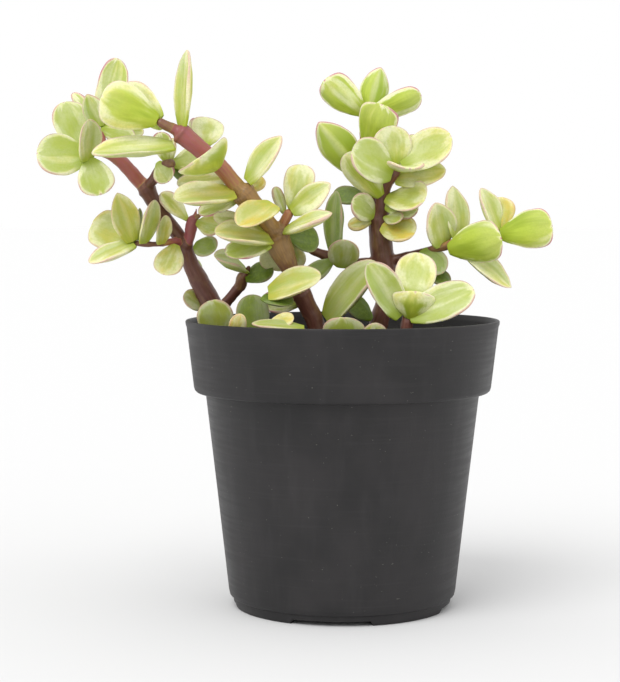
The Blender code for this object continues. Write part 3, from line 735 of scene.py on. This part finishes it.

# how wide the cream margin is in mm, and how yellow, how darkened by painted shade and how pink at its edge
# the leaf is (0 to 1)
LEAF_LOOKS = {
    "lime": (0.5, 0.1, 0.0, 0.9),
    "grey": (0.7, 0.1, 0.12, 0.6),
    "cream": (1.7, 0.2, 0.0, 0.5),
    "gilt": (1.3, 0.5, 0.1, 0.4),
    "gold": (1.0, 1.0, 0.1, 0.3),
    # the last three looks stand for leaves that lie in the plant's shade: their darkness is painted shade
    "shade": (0.9, 0.3, 0.36, 0.5),
    "deep_shade": (0.6, 0.1, 0.72, 0.4),
    "darkest_shade": (0.4, 0.2, 1.0, 0.2),
}

UNEVEN_SIZE = 9
UNEVEN_DEPTH = 1.1
unevenness = bpy.data.textures.new("leaf_unevenness", "CLOUDS")
unevenness.noise_scale = UNEVEN_SIZE * MM


def grow_leaf(name, foot, tip, width, faces, look, cup=55, curl=12, kind="spoon"):
    """One leaf: a copy of a pattern, stretched to size, cupped and curled in degrees, and set in place."""
    pattern = leaf_patterns[kind]
    leaf = pattern.copy()
    leaf.data = pattern.data.copy()
    leaf.name = leaf.data.name = name
    leaf.hide_render = False
    bpy.context.scene.collection.objects.link(leaf)
    foot, tip = Vector(foot), Vector(tip)
    length = (tip - foot).length
    leaf.scale = Vector((width, LEAF_THICKNESS, length)) * MM
    take_up(leaf)
    bpy.ops.object.transform_apply(location=True, rotation=True, scale=True)
    mark_leaf(leaf, width, length, kind, look)
    for axis, degrees in (("Z", cup), ("X", curl)):
        apply_modifier(leaf, "SIMPLE_DEFORM", deform_method="BEND", deform_axis=axis,
                       angle=math.radians(degrees))
    end = max(leaf.data.vertices, key=lambda vertex: vertex.co.z).co.copy()
    lean = Vector((0, end.y, end.z)).rotation_difference(Vector((0, 0, 1))).to_matrix().to_4x4()
    along = (tip - foot).normalized()
    up = Vector(faces)
    up = (up - along * up.dot(along)).normalized()
    turn = Matrix((up.cross(along), up, along)).transposed().to_4x4()
    stretch = Matrix.Diagonal((1, 1, length * MM / Vector((0, end.y, end.z)).length, 1))
    leaf.matrix_world = Matrix.Translation(pot_axis + foot * MM) @ turn @ stretch @ lean
    bpy.ops.object.transform_apply(location=True, rotation=True, scale=True)
    apply_modifier(leaf, "DISPLACE", texture=unevenness, texture_coords="LOCAL",
                   strength=UNEVEN_DEPTH * MM, mid_level=0.5)
    leaf.data.materials.append(leaf_flesh)
    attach(leaf, "root")
    return leaf


BARE_FOOT = 0.22  # share of a leaf's length, from its foot, that has no cream margin
# painted shade on one side of the fold and a painted highlight along its middle
FOLD_SHADING = 0.7  # how strongly the fold of a long or pointed leaf is coloured


def mark_leaf(leaf, width, length, kind, look):
    """Writes on each point how far in mm it is from the leaf's edge, and on all the leaf's look with its
    painted shade.
    """
    mesh = leaf.data
    outline = np.array(LEAF_OUTLINES[kind]) * (width, length)
    outline = outline[outline[:, 1] > BARE_FOOT * length]
    places = np.array([(v.co.x, v.co.z) for v in mesh.vertices]) / MM
    gaps = np.linalg.norm(places[:, None] - outline[None], axis=2).min(1)
    margin = mesh.attributes.new("leaf_margin", "FLOAT", "POINT")
    margin.data.foreach_set("value", gaps)
    cream, yellow, shade, pink = LEAF_LOOKS[look]
    seed = (sum(ord(letter) * (k + 3) for k, letter in enumerate(leaf.name)) % 97) / 97
    fold = FOLD_SHADING if kind in ("long", "drop") else 0.0
    for key, row in (("leaf_tone", (seed, cream, yellow)), ("leaf_light", (shade, pink, fold))):
        mark = mesh.attributes.new(key, "FLOAT_VECTOR", "POINT")
        mark.data.foreach_set("vector", np.tile(row, len(mesh.vertices)))


# among the leaf colours are the dark green of painted shade, the green of the painted shaded side of a fold
# and the pale of the painted highlight along it
LEAF_TINTS = {name: paint(code) for name, code in {
    "top_bloom": "c3cc8c", "top_green": "b0c05e", "under_bright": "b2c544", "under_green": "93aa2e",
    "under_tip": "c8d080", "streak": "8aa024", "cream": "e4e6bd", "butter": "dedb8a", "shaded_flank": "88a434",
    "ridge_highlight": "e8e6be", "rim": "ecebcb", "foot": "98ae2a", "gold": "dcbf55", "shade": "48650a",
    "mottle": "9cb434", "pink": "b45f78"}.items()}


def flesh_material():
    """Waxy flesh that lets some light in. Its pattern follows the leaf's length and width, and differs on each
    leaf and on each of its sides. Painted shade darkens leaves within the plant and one side of a folded leaf,
    and a painted highlight runs along the fold's middle."""
    material, tree, shader = new_material(
        "leaf_flesh", Subsurface_Weight=0.25, Subsurface_Scale=0.0012, Specular_IOR_Level=0.32)
    shader.inputs["Subsurface Radius"].default_value = (1.0, 1.0, 0.35)
    tint = LEAF_TINTS

    def parts(attribute):
        vector = add_node(tree, "ShaderNodeAttribute", {}, attribute_name=attribute).outputs["Vector"]
        return add_node(tree, "ShaderNodeSeparateXYZ", {"Vector": vector}).outputs

    def times(first, second):
        return sums(tree, "MULTIPLY", first, second)

    def around_zero(value):
        return sums(tree, "SUBTRACT", value, 0.5)

    across, along, upper = parts("leaf_place")
    seed, cream, yellow = parts("leaf_tone")
    shade, pink, fold = parts("leaf_light")
    margin = add_node(tree, "ShaderNodeAttribute", {}, attribute_name="leaf_margin").outputs["Fac"]
    side = ease(tree, upper, -0.1, 0.1)
    own = sums(tree, "ADD", times(seed, 61.0), times(side, 3.7))
    flat = add_node(tree, "ShaderNodeCombineXYZ", {"X": across, "Y": along, "Z": own}).outputs[0]
    wide_streaks = noise(tree, flat, (0.45, 0.9, 0.8), 4)
    fine_streaks = noise(tree, flat, (0.15, 0.65, 0.5), 4)
    blotches = noise(tree, flat, (0.9, 0.7, 0.7), 3)

    # green middle, which is deeper under the leaf than on its bloomy top
    top_green = mix(tree, ease(tree, blotches, 0.35, 0.65), tint["top_bloom"], tint["top_green"])
    under_green = mix(tree, ease(tree, wide_streaks, 0.35, 0.65), tint["under_bright"], tint["under_green"])
    under_green = mix(tree, ease(tree, along, 0.4, 1.0, 0, 0.45), under_green, tint["under_tip"])
    green = mix(tree, side, under_green, top_green)
    streak_amount = times(ease(tree, fine_streaks, 0.5, 0.75, 0, 0.35), ease(tree, along, 0.2, 1.0, 1.0, 0.3))
    green = mix(tree, streak_amount, green, tint["streak"])

    # cream margin and cream patches, where the green runs out in streaks
    feather = sums(tree, "ADD", times(around_zero(wide_streaks), 6.0), times(around_zero(blotches), 5.0))
    inward = sums(tree, "ADD", margin, feather)
    green_amount = ease(tree, inward, times(cream, 0.3), times(cream, 2.6))
    pale = mix(tree, ease(tree, blotches, 0.4, 0.7), tint["cream"], tint["butter"])
    flesh = mix(tree, ease(tree, green_amount, 0, 1, 0.08, 1), pale, green)
    sectors = noise(tree, flat, (0.8, 2.2, 0.6), 3)
    flesh = mix(tree, ease(tree, sectors, 0.54, 0.66, 0, 0.6), flesh, pale)

    # a folded leaf gets painted shade on one side, which is greener, and a pale painted highlight along the
    # middle between the two
    midline = sums(tree, "ADD", across, times(around_zero(wide_streaks), 0.5))
    shaded_flank = sums(tree, "SUBTRACT", ease(tree, midline, -0.08, 0.08), ease(tree, seed, 0.49, 0.51))
    shaded_flank = times(sums(tree, "ABSOLUTE", shaded_flank), fold)
    flesh = mix(tree, times(shaded_flank, 0.6), flesh, tint["shaded_flank"])
    ridge_highlight = times(ease(tree, sums(tree, "ABSOLUTE", midline), 0.0, 0.35, 0.5, 0), fold)
    flesh = mix(tree, ridge_highlight, flesh, tint["ridge_highlight"])

    # pale rim and green foot, then yellowing with age and painted shade over the whole leaf, and its pink edge
    rim = times(ease(tree, margin, 0.2, 1.0, 0.95, 0), ease(tree, blotches, 0.35, 0.55, 0.45, 1))
    flesh = mix(tree, rim, flesh, tint["rim"])
    flesh = mix(tree, ease(tree, along, 0.0, 0.35, 0.8, 0.0), flesh, tint["foot"])
    gold_amount = times(yellow, ease(tree, blotches, 0.35, 0.7, 0.25, 0.9))
    flesh = mix(tree, gold_amount, flesh, tint["gold"])
    # painted shade: the leaf darkened towards dark green by how much shade it is painted in
    flesh = mix(tree, times(shade, 0.85), flesh, tint["shade"])
    place = add_node(tree, "ShaderNodeTexCoord", {}).outputs["Object"]
    mottle = noise(tree, place, (0.0009, 0.0009, 0.0009), 3, 0.7)
    flesh = mix(tree, ease(tree, mottle, 0.45, 0.65, 0, 0.22), flesh, tint["mottle"])
    edge = times(ease(tree, margin, 0.15, 0.6, 1, 0), ease(tree, along, 0.35, 0.75))
    edge = times(edge, ease(tree, fine_streaks, 0.33, 0.5))
    flesh = mix(tree, times(edge, pink), flesh, tint["pink"])
    tree.links.new(flesh, shader.inputs["Base Color"])

    pores = noise(tree, place, (0.00035, 0.00035, 0.00035), 2)
    tree.links.new(ease(tree, pores, 0.3, 0.7, 0.4, 0.54), shader.inputs["Roughness"])
    relief = sums(tree, "ADD", times(fine_streaks, 1.2), times(pores, 0.5))
    bump = add_node(tree, "ShaderNodeBump", {"Height": relief, "Strength": 0.25, "Distance": 0.0003})
    tree.links.new(bump.outputs[0], shader.inputs["Normal"])
    return material


leaf_flesh = flesh_material()

# the shapes that leaves have: a boat is folded up along its middle more than the others
SPOON, ROUND, FAN, DROP, LONG = [{"kind": kind} for kind in ("spoon", "round", "fan", "drop", "long")]
BOAT = {"kind": "long", "cup": 95}
POINTED_BOAT = {"kind": "drop", "cup": 90}


def grow_cluster(cluster, with_solid, leaves):
    """The leaves of one part of the plant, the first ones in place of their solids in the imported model. Each
    is (foot, tip, width, way that its upper side faces, look, shape)."""
    for number, (foot, tip, width, faces, look, shape) in enumerate(leaves, 1):
        leaf = grow_leaf(f"{cluster}_leaf_{number}", foot, tip, width, faces, look, **shape)
        if number <= with_solid:
            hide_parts(f"leaf_{cluster}_{number}")


# on the young end of the left stem
grow_cluster("left_tip", 6, [
    ((-85.3, 1.2, 151.0), (-93.6, 6, 168.8), 13.8, (0.2, -1, 0.3), "grey", ROUND),
    ((-85.8, -1.2, 150.2), (-101, -6, 151.2), 15.2, (0.3, -1, 0.3), "grey", ROUND),
    ((-85.0, -2.2, 149.2), (-83.2, -10, 162), 11, (1, -1, 0), "cream", BOAT),
    ((-84.2, -1.8, 149.4), (-79.8, -7, 137.7), 12.5, (0, -1, 0.6), "grey", FAN),
    ((-81.2, 3.2, 160.2), (-85.2, 1, 171.2), 8.4, (0.5, -1, 0), "grey", DROP),
    ((-80.2, 5, 160), (-75.2, 7, 183.4), 10.8, (0.2, -1, 0), "lime", ROUND),
    ((-82, 6, 162), (-91, 9, 172), 4.5, (0, -1, 0.3), "lime", SPOON),
    ((-81, 3.4, 159.6), (-69.5, 6, 156.4), 8, (0, -1, 0.4), "grey", SPOON),
    ((-79, 8, 158.5), (-67, 12, 159.5), 6, (0, -1, 0.4), "shade", SPOON),
])

# on the left stem's twig that goes left
grow_cluster("left_twig", 5, [
    ((-69.8, -2.6, 122.2), (-74.3, -8, 138.4), 10.6, (0.4, -1, 0.2), "gilt", DROP),
    ((-69.6, -1.0, 121.8), (-84, 3, 128), 14.5, (0.2, -1, 0.3), "gilt", FAN),
    ((-69.4, -2.6, 121.2), (-83.6, -9, 115.3), 9.5, (0.2, -0.45, 1), "cream", BOAT),
    ((-66.4, -2.2, 121.6), (-62, -8, 136), 9.5, (0.9, -0.7, 0), "cream", BOAT),
    ((-55.6, 1.8, 121), (-59.3, -6, 111.2), 10.2, (0, -1, 0.4), "gilt", FAN),
    ((-68.2, -1, 122.4), (-67.6, 0, 133.4), 5, (1, -0.3, 0), "deep_shade", SPOON),
    ((-60.6, -0.4, 121.4), (-58.6, -5, 131), 7, (0.8, -1, 0), "gilt", BOAT),
])

# along the rest of the left stem and its twigs
grow_cluster("left_stem", 5, [
    ((-48.4, -0.6, 128.4), (-40.2, -6, 126.8), 8.2, (0, -1, 0.3), "shade", SPOON),
    ((-31.9, -5.5, 112.6), (-42, -13, 117.4), 13.5, (0.15, -0.45, 1), "shade", BOAT),
    ((-32.4, -5, 109.8), (-22.8, -6, 113.2), 8.5, (0, -0.8, 0.6), "darkest_shade", ROUND),
    ((-40.6, -14.5, 91.6), (-42.7, -19, 103.4), 12.6, (0, -1, 0), "shade", ROUND),
    ((-29, -16, 92), (-29.8, -19, 105.4), 11.4, (0, -1, 0), "deep_shade", ROUND),
    ((-49.5, 4, 121), (-42.2, -2, 119.4), 8.8, (0, -1, 0.5), "deep_shade", ROUND),
    ((-46, 10, 99.4), (-53.6, 8, 104.6), 7, (0, -1, 0.5), "shade", ROUND),
    ((-35, -33, 90), (-32.8, -37, 99.8), 5.8, (0, -1, 0), "gold", ROUND),
    ((-60.5, -9, 148), (-56.8, -15, 141.6), 8, (-0.3, -1, 0.3), "lime", SPOON),
    ((-57.8, -9, 148.5), (-60.2, -7, 158.2), 7, (0.3, -1, 0), "lime", SPOON),
    ((-56, -8.5, 147.6), (-45, -5, 150), 10, (0, -1, 0.5), "lime", SPOON),
    ((-57, -8.5, 147), (-48.5, -4, 141.6), 6.5, (0, -1, 0.6), "darkest_shade", SPOON),
    ((-51.8, 2, 129.3), (-60.8, 4, 138.4), 6.5, (0.3, -1, 0.3), "cream", SPOON),
    ((-56.6, -8.5, 148.8), (-56.2, -7, 156.4), 4.5, (-0.8, -1, 0), "cream", SPOON),
])

# at the end of the middle stem
grow_cluster("middle_tip", 4, [
    ((-59.6, -24.4, 161), (-77.0, -28, 168.6), 15.8, (0, 1, -0.2), "cream", FAN),
    ((-59, -22.8, 161.4), (-71, -19, 172.6), 10.5, (0.3, -1, 0), "cream", ROUND),
    ((-51.5, -23.2, 158.8), (-50.3, -21, 183.6), 11, (-1, -0.6, 0), "cream", BOAT),
    ((-54.2, -24.6, 152.6), (-79.7, -31, 150.4), 16, (0, -0.45, 1), "cream", BOAT),
])

# along the middle stem and its twigs
grow_cluster("middle_stem", 10, [
    ((-40.7, -25.4, 145.9), (-45.1, -38, 148.9), 20, (-0.52, 0.33, 0.77), "cream", {"cup": 70}),
    ((-44.4, -19, 153.4), (-43.9, -12, 162.8), 11.4, (0.2, -1, 0.5), "cream", {"cup": 30}),
    ((-30.8, -20.6, 141.4), (-19.9, -24, 156.1), 12, (-0.8, -0.8, 0.4), "cream", POINTED_BOAT),
    ((-35, -22.8, 137.6), (-54.2, -31, 136.1), 13.5, (0, -0.75, 1), "gilt", BOAT),
    ((-22.6, -22.2, 134.0), (-33.4, -32, 127.6), 13.2, (0, -0.8, 1), "gold", BOAT),
    ((-16.4, -15.4, 132.4), (-13.2, -12, 147.4), 10.6, (0, -1, 0.2), "cream", FAN),
    ((-16.8, -16.6, 132), (-4.3, -21, 141), 9, (0, -1, 0.4), "cream", DROP),
    ((-19.2, -19, 125.6), (-3.9, -27, 131.4), 10, (0, -0.6, 1), "cream", POINTED_BOAT),
    ((-23.8, -20, 123.2), (-41, -30, 125.2), 15, (0, -0.7, 1), "gilt", BOAT),
    ((-24.2, -22.6, 105.4), (-7.2, -28.5, 111.6), 14, (0, -0.75, 0.8), "gilt", BOAT),
    ((-35, -18, 143), (-54.5, -12, 141.5), 7, (0, -1, 0.5), "cream", SPOON),
    ((-34, -17.5, 136.2), (-47, -18, 131.5), 7.5, (0, -0.8, 0.8), "lime", SPOON),
    ((-31, -17, 138.5), (-26.4, -14, 143.2), 6, (0, -1, 0.3), "gold", SPOON),
    ((-25, -17, 126.5), (-42, -22, 130.4), 8, (0, -1, 0.8), "cream", SPOON),
    ((-23.5, -18, 121.6), (-38, -25, 118.4), 9.5, (0, -0.6, 0.6), "lime", SPOON),
    ((-19, -14.5, 131), (-22.3, -12, 140.2), 4, (0.3, -1, 0), "shade", SPOON),
    ((-18, -12.5, 124), (-8, -9, 122.2), 9.6, (0, -1, 0.3), "darkest_shade", SPOON),
    ((-20.5, -12.5, 123), (-19.3, -4, 112.5), 16, (0, -1, -0.6), "cream", ROUND),
    ((-26.2, -22, 104.6), (-16.4, -27, 102.6), 9, (0, -0.5, 1), "darkest_shade", ROUND),
    ((-3, 2, 115.8), (-12.6, -2, 110), 6.8, (0, -1, 0.3), "deep_shade", SPOON),
    ((-49.5, -17, 157.2), (-46, -13, 161.5), 6, (0, -1, 0.3), "lime", SPOON),
])

# on the front shoot, and low down over the soil
grow_cluster("front", 5, [
    ((18.4, -26.8, 98.6), (7.4, -32, 115.8), 12.6, (0.3, -0.9, 0.25), "grey", BOAT),
    ((-5.4, -13.6, 96.4), (10.6, -17.5, 115.8), 17, (-0.7, -0.65, 0.5), "shade", BOAT),
    ((22.2, -24.4, 104), (24.1, -20, 118.9), 13.8, (0, -1, 0.2), "cream", ROUND),
    ((21.3, -27.6, 98.2), (22.6, -31.4, 106.6), 14.6, (0, 1, 0.4), "cream", FAN),
    ((20.8, -27.4, 98.5), (41.2, -31.5, 107.3), 13, (-0.2, -1, 0.45), "grey", ROUND),
    ((26.5, 1, 119), (33.4, -5, 111.8), 9.8, (0, -1, 0.4), "deep_shade", ROUND),
    ((27, 1, 114), (35.6, -3, 108), 6, (0, -1, 0.6), "darkest_shade", SPOON),
    ((0, -31, 87), (0, -37, 98.8), 14, (0, 1, 0.2), "shade", ROUND),
    ((9.6, -31, 87), (9.6, -36, 97), 8, (0, 1, 0.2), "shade", ROUND),
    ((-12.4, -38, 95.6), (-29, -39.5, 97), 9, (0, -0.3, 1), "shade", LONG),
    ((-25, -33.5, 94.4), (-15.8, -36, 98.8), 9, (0, -0.7, 1), "gold", ROUND),
    ((10, 3, 96), (2, -1, 102.8), 8, (0, -1, 0.4), "darkest_shade", SPOON),
    ((-14, -8, 101.6), (-27, -9, 102.6), 8, (0, -1, 0.4), "lime", SPOON),
    ((19, -23, 100), (15, -20, 109), 8, (0, -1, 0.2), "grey", SPOON),
])

# on the upright fork of the right stem
grow_cluster("right_top", 5, [
    ((6.8, 4.4, 165), (-5.9, 2, 175.7), 12, (0.2, 1, 0.2), "lime", FAN),
    ((8.4, 5.8, 165.2), (13.1, 9, 180.5), 10.4, (0, 1, 0.2), "lime", DROP),
    ((9.0, 5.4, 164.2), (26.6, 8, 171.2), 9.6, (-0.4, 1, 0.2), "lime", FAN),
    ((9.0, 3.8, 152.8), (12.8, -4, 167.4), 14.2, (0.1, 1, -0.4), "lime", FAN),
    ((5.6, 6.6, 145.4), (-7.9, 4, 161.9), 13, (0.3, 1, 0), "lime", DROP),
])

# on the crown of the right stem
grow_cluster("right_crown", 7, [
    ((16.4, -0.8, 144.6), (3.0, -9, 152.7), 15, (0.3, -1, 0.3), "grey", ROUND),
    ((12.9, 3.4, 137.4), (1, 0, 151.3), 12.4, (0.6, 1, 0), "cream", SPOON),
    ((17.6, 0.6, 147.6), (15.4, -3, 160.4), 13.4, (0, -1, 0), "cream", ROUND),
    ((19.4, 0.2, 147.8), (35.8, -5, 157), 13.4, (-0.2, -1, 0.2), "cream", ROUND),
    ((17.4, 2.4, 143), (34.6, 0.5, 146), 11, (0, -1, 0.6), "gilt", LONG),
    ((14.8, 3.2, 136.6), (27.2, -7, 136.4), 13.6, (0, -0.9, 0.6), "cream", FAN),
    ((13.4, 4.4, 127.2), (24.1, -5, 125.2), 10.6, (-0.3, -1, 0.6), "gold", ROUND),
    ((10.8, 5.4, 130.8), (3.2, -1, 136), 9.4, (0, -1, 0.3), "grey", ROUND),
    ((17, 1.6, 148.6), (12.8, 3, 159), 7.5, (0.4, -1, 0), "cream", DROP),
    ((18.6, -0.6, 146.8), (21.8, -13, 146), 12.8, (0, 0.2, 1), "cream", {"cup": 75}),
    ((14.6, 4, 133.6), (25.2, -2, 132.8), 8, (0, -1, 0.2), "lime", SPOON),
    ((14.2, 4, 130), (19.4, -5, 129.4), 6, (0, -1, 0.4), "shade", SPOON),
    ((10, 6, 128.8), (2, 4, 127.5), 5, (0, -1, 0.4), "gold", SPOON),
    ((9.4, 10, 137), (-3, 16, 138), 7, (0, -1, 0.4), "darkest_shade", SPOON),
    ((20, 3, 148.4), (25, 8, 158), 6, (0, -1, 0), "grey", SPOON),
])

# on the right stem's twigs
grow_cluster("right_twig", 7, [
    ((-2.6, 3, 117.6), (-2.0, -2, 139), 10.5, (-1, -0.8, 0), "deep_shade", BOAT),
    ((33.2, -1.2, 120.6), (30.4, -7, 134.9), 13.6, (0.5, -0.9, 0), "cream", POINTED_BOAT),
    ((38.4, -1.0, 122.4), (37.0, 3, 140.8), 11.4, (0.6, -0.8, 0), "cream", POINTED_BOAT),
    ((35.2, -3.2, 119.6), (51.8, -12, 123.4), 14.6, (0, 1, 0), "lime", FAN),
    ((40.2, -2.4, 119.4), (56.4, -3, 106.8), 10.8, (0.45, -0.7, 0.6), "cream", POINTED_BOAT),
    ((51.6, -4.2, 125.6), (45.4, -6.5, 139.9), 12.5, (0.8, -0.6, 0.2), "cream", POINTED_BOAT),
    ((52.2, -4.6, 124.6), (69, -10, 127.5), 13.4, (0, 1, 0), "lime", FAN),
    ((0, -1, 113.4), (0.8, -7, 122.8), 11, (0, -1, 0.2), "shade", ROUND),
    ((52.2, -3, 125.6), (52, 0, 137), 11, (0, -1, 0), "gold", SPOON),
])

# on the side away from the front, all without a solid
grow_cluster("back", 0, [
    ((13, 11, 118.4), (13.2, 20, 125.6), 6.5, (0, 1, 0.6), "lime", SPOON),
    ((-49.6, 10, 110), (-49, 18, 115), 5, (0, 1, 0.6), "shade", SPOON),
    ((15.8, 3.8, 143), (22.5, 15, 149), 10, (0.2, 1, 0.6), "cream", ROUND),
    ((10.2, 8.6, 138.6), (5.6, 19, 145.5), 10, (-0.2, 1, 0.6), "lime", ROUND),
    ((7.4, 6, 158.4), (11.5, 15, 163.8), 8.5, (0.2, 1, 0.3), "lime", FAN),
    ((-84, 0.6, 151.4), (-88.5, 12, 157.5), 9.5, (-0.2, 1, 0.4), "cream", ROUND),
    ((-58, -22.8, 160.2), (-66, -11, 164.4), 10, (0, 1, 0.5), "lime", FAN),
    ((-69, -0.8, 121.8), (-76.5, 9, 123.8), 9, (0, 1, 0.4), "gilt", ROUND),
    ((21.8, -24.4, 99), (29, -14, 102.6), 9, (0.2, 1, 0.4), "cream", ROUND),
    ((39.4, -1, 122), (44.2, 9, 122.4), 9, (0.2, 1, 0.3), "cream", ROUND),
    ((52.2, -3.4, 125), (60.5, 6, 126.4), 9.5, (0.2, 1, 0.3), "lime", FAN),
])
for pattern in leaf_patterns.values():
    bpy.data.objects.remove(pattern)

# ---------------------------------------------------------------- studio
# A pale table top under a white surround that lights the plant from every side, and two broad soft suns.
# The table is as bright as the surround, so that no horizon shows behind the plant.
deselect_all()
bpy.ops.mesh.primitive_plane_add(size=40, location=(pot_axis.x, 0, 0))
table = bpy.context.object
table.name = "table_top"
TABLE_GREY = 0.71
table_look, _, table_shader = new_material("pale_table", Roughness=1.0, Specular_IOR_Level=0.0)
table_shader.inputs["Base Color"].default_value = (TABLE_GREY, TABLE_GREY, TABLE_GREY, 1)
table.data.materials.append(table_look)

world = bpy.data.worlds.new("white_surround")
world.use_nodes = True
surround = world.node_tree.nodes["Background"]
surround.inputs["Color"].default_value = (1, 1, 1, 1)
surround.inputs["Strength"].default_value = 1.0
bpy.context.scene.world = world
bpy.context.scene.view_settings.view_transform = "Standard"


def soft_sun(name, comes_from, strength, spread):
    """A sun as wide as spread degrees, that shines from a direction."""
    data = bpy.data.lights.new(name, "SUN")
    data.energy = strength
    data.angle = math.radians(spread)
    lamp = bpy.data.objects.new(name, data)
    bpy.context.scene.collection.objects.link(lamp)
    lamp.rotation_euler = Vector(comes_from).to_track_quat("Z", "Y").to_euler()


soft_sun("key_sun", (-0.5, -0.75, 1.0), 1.5, 40)
soft_sun("fill_sun", (0.8, -0.7, 0.6), 0.3, 60)
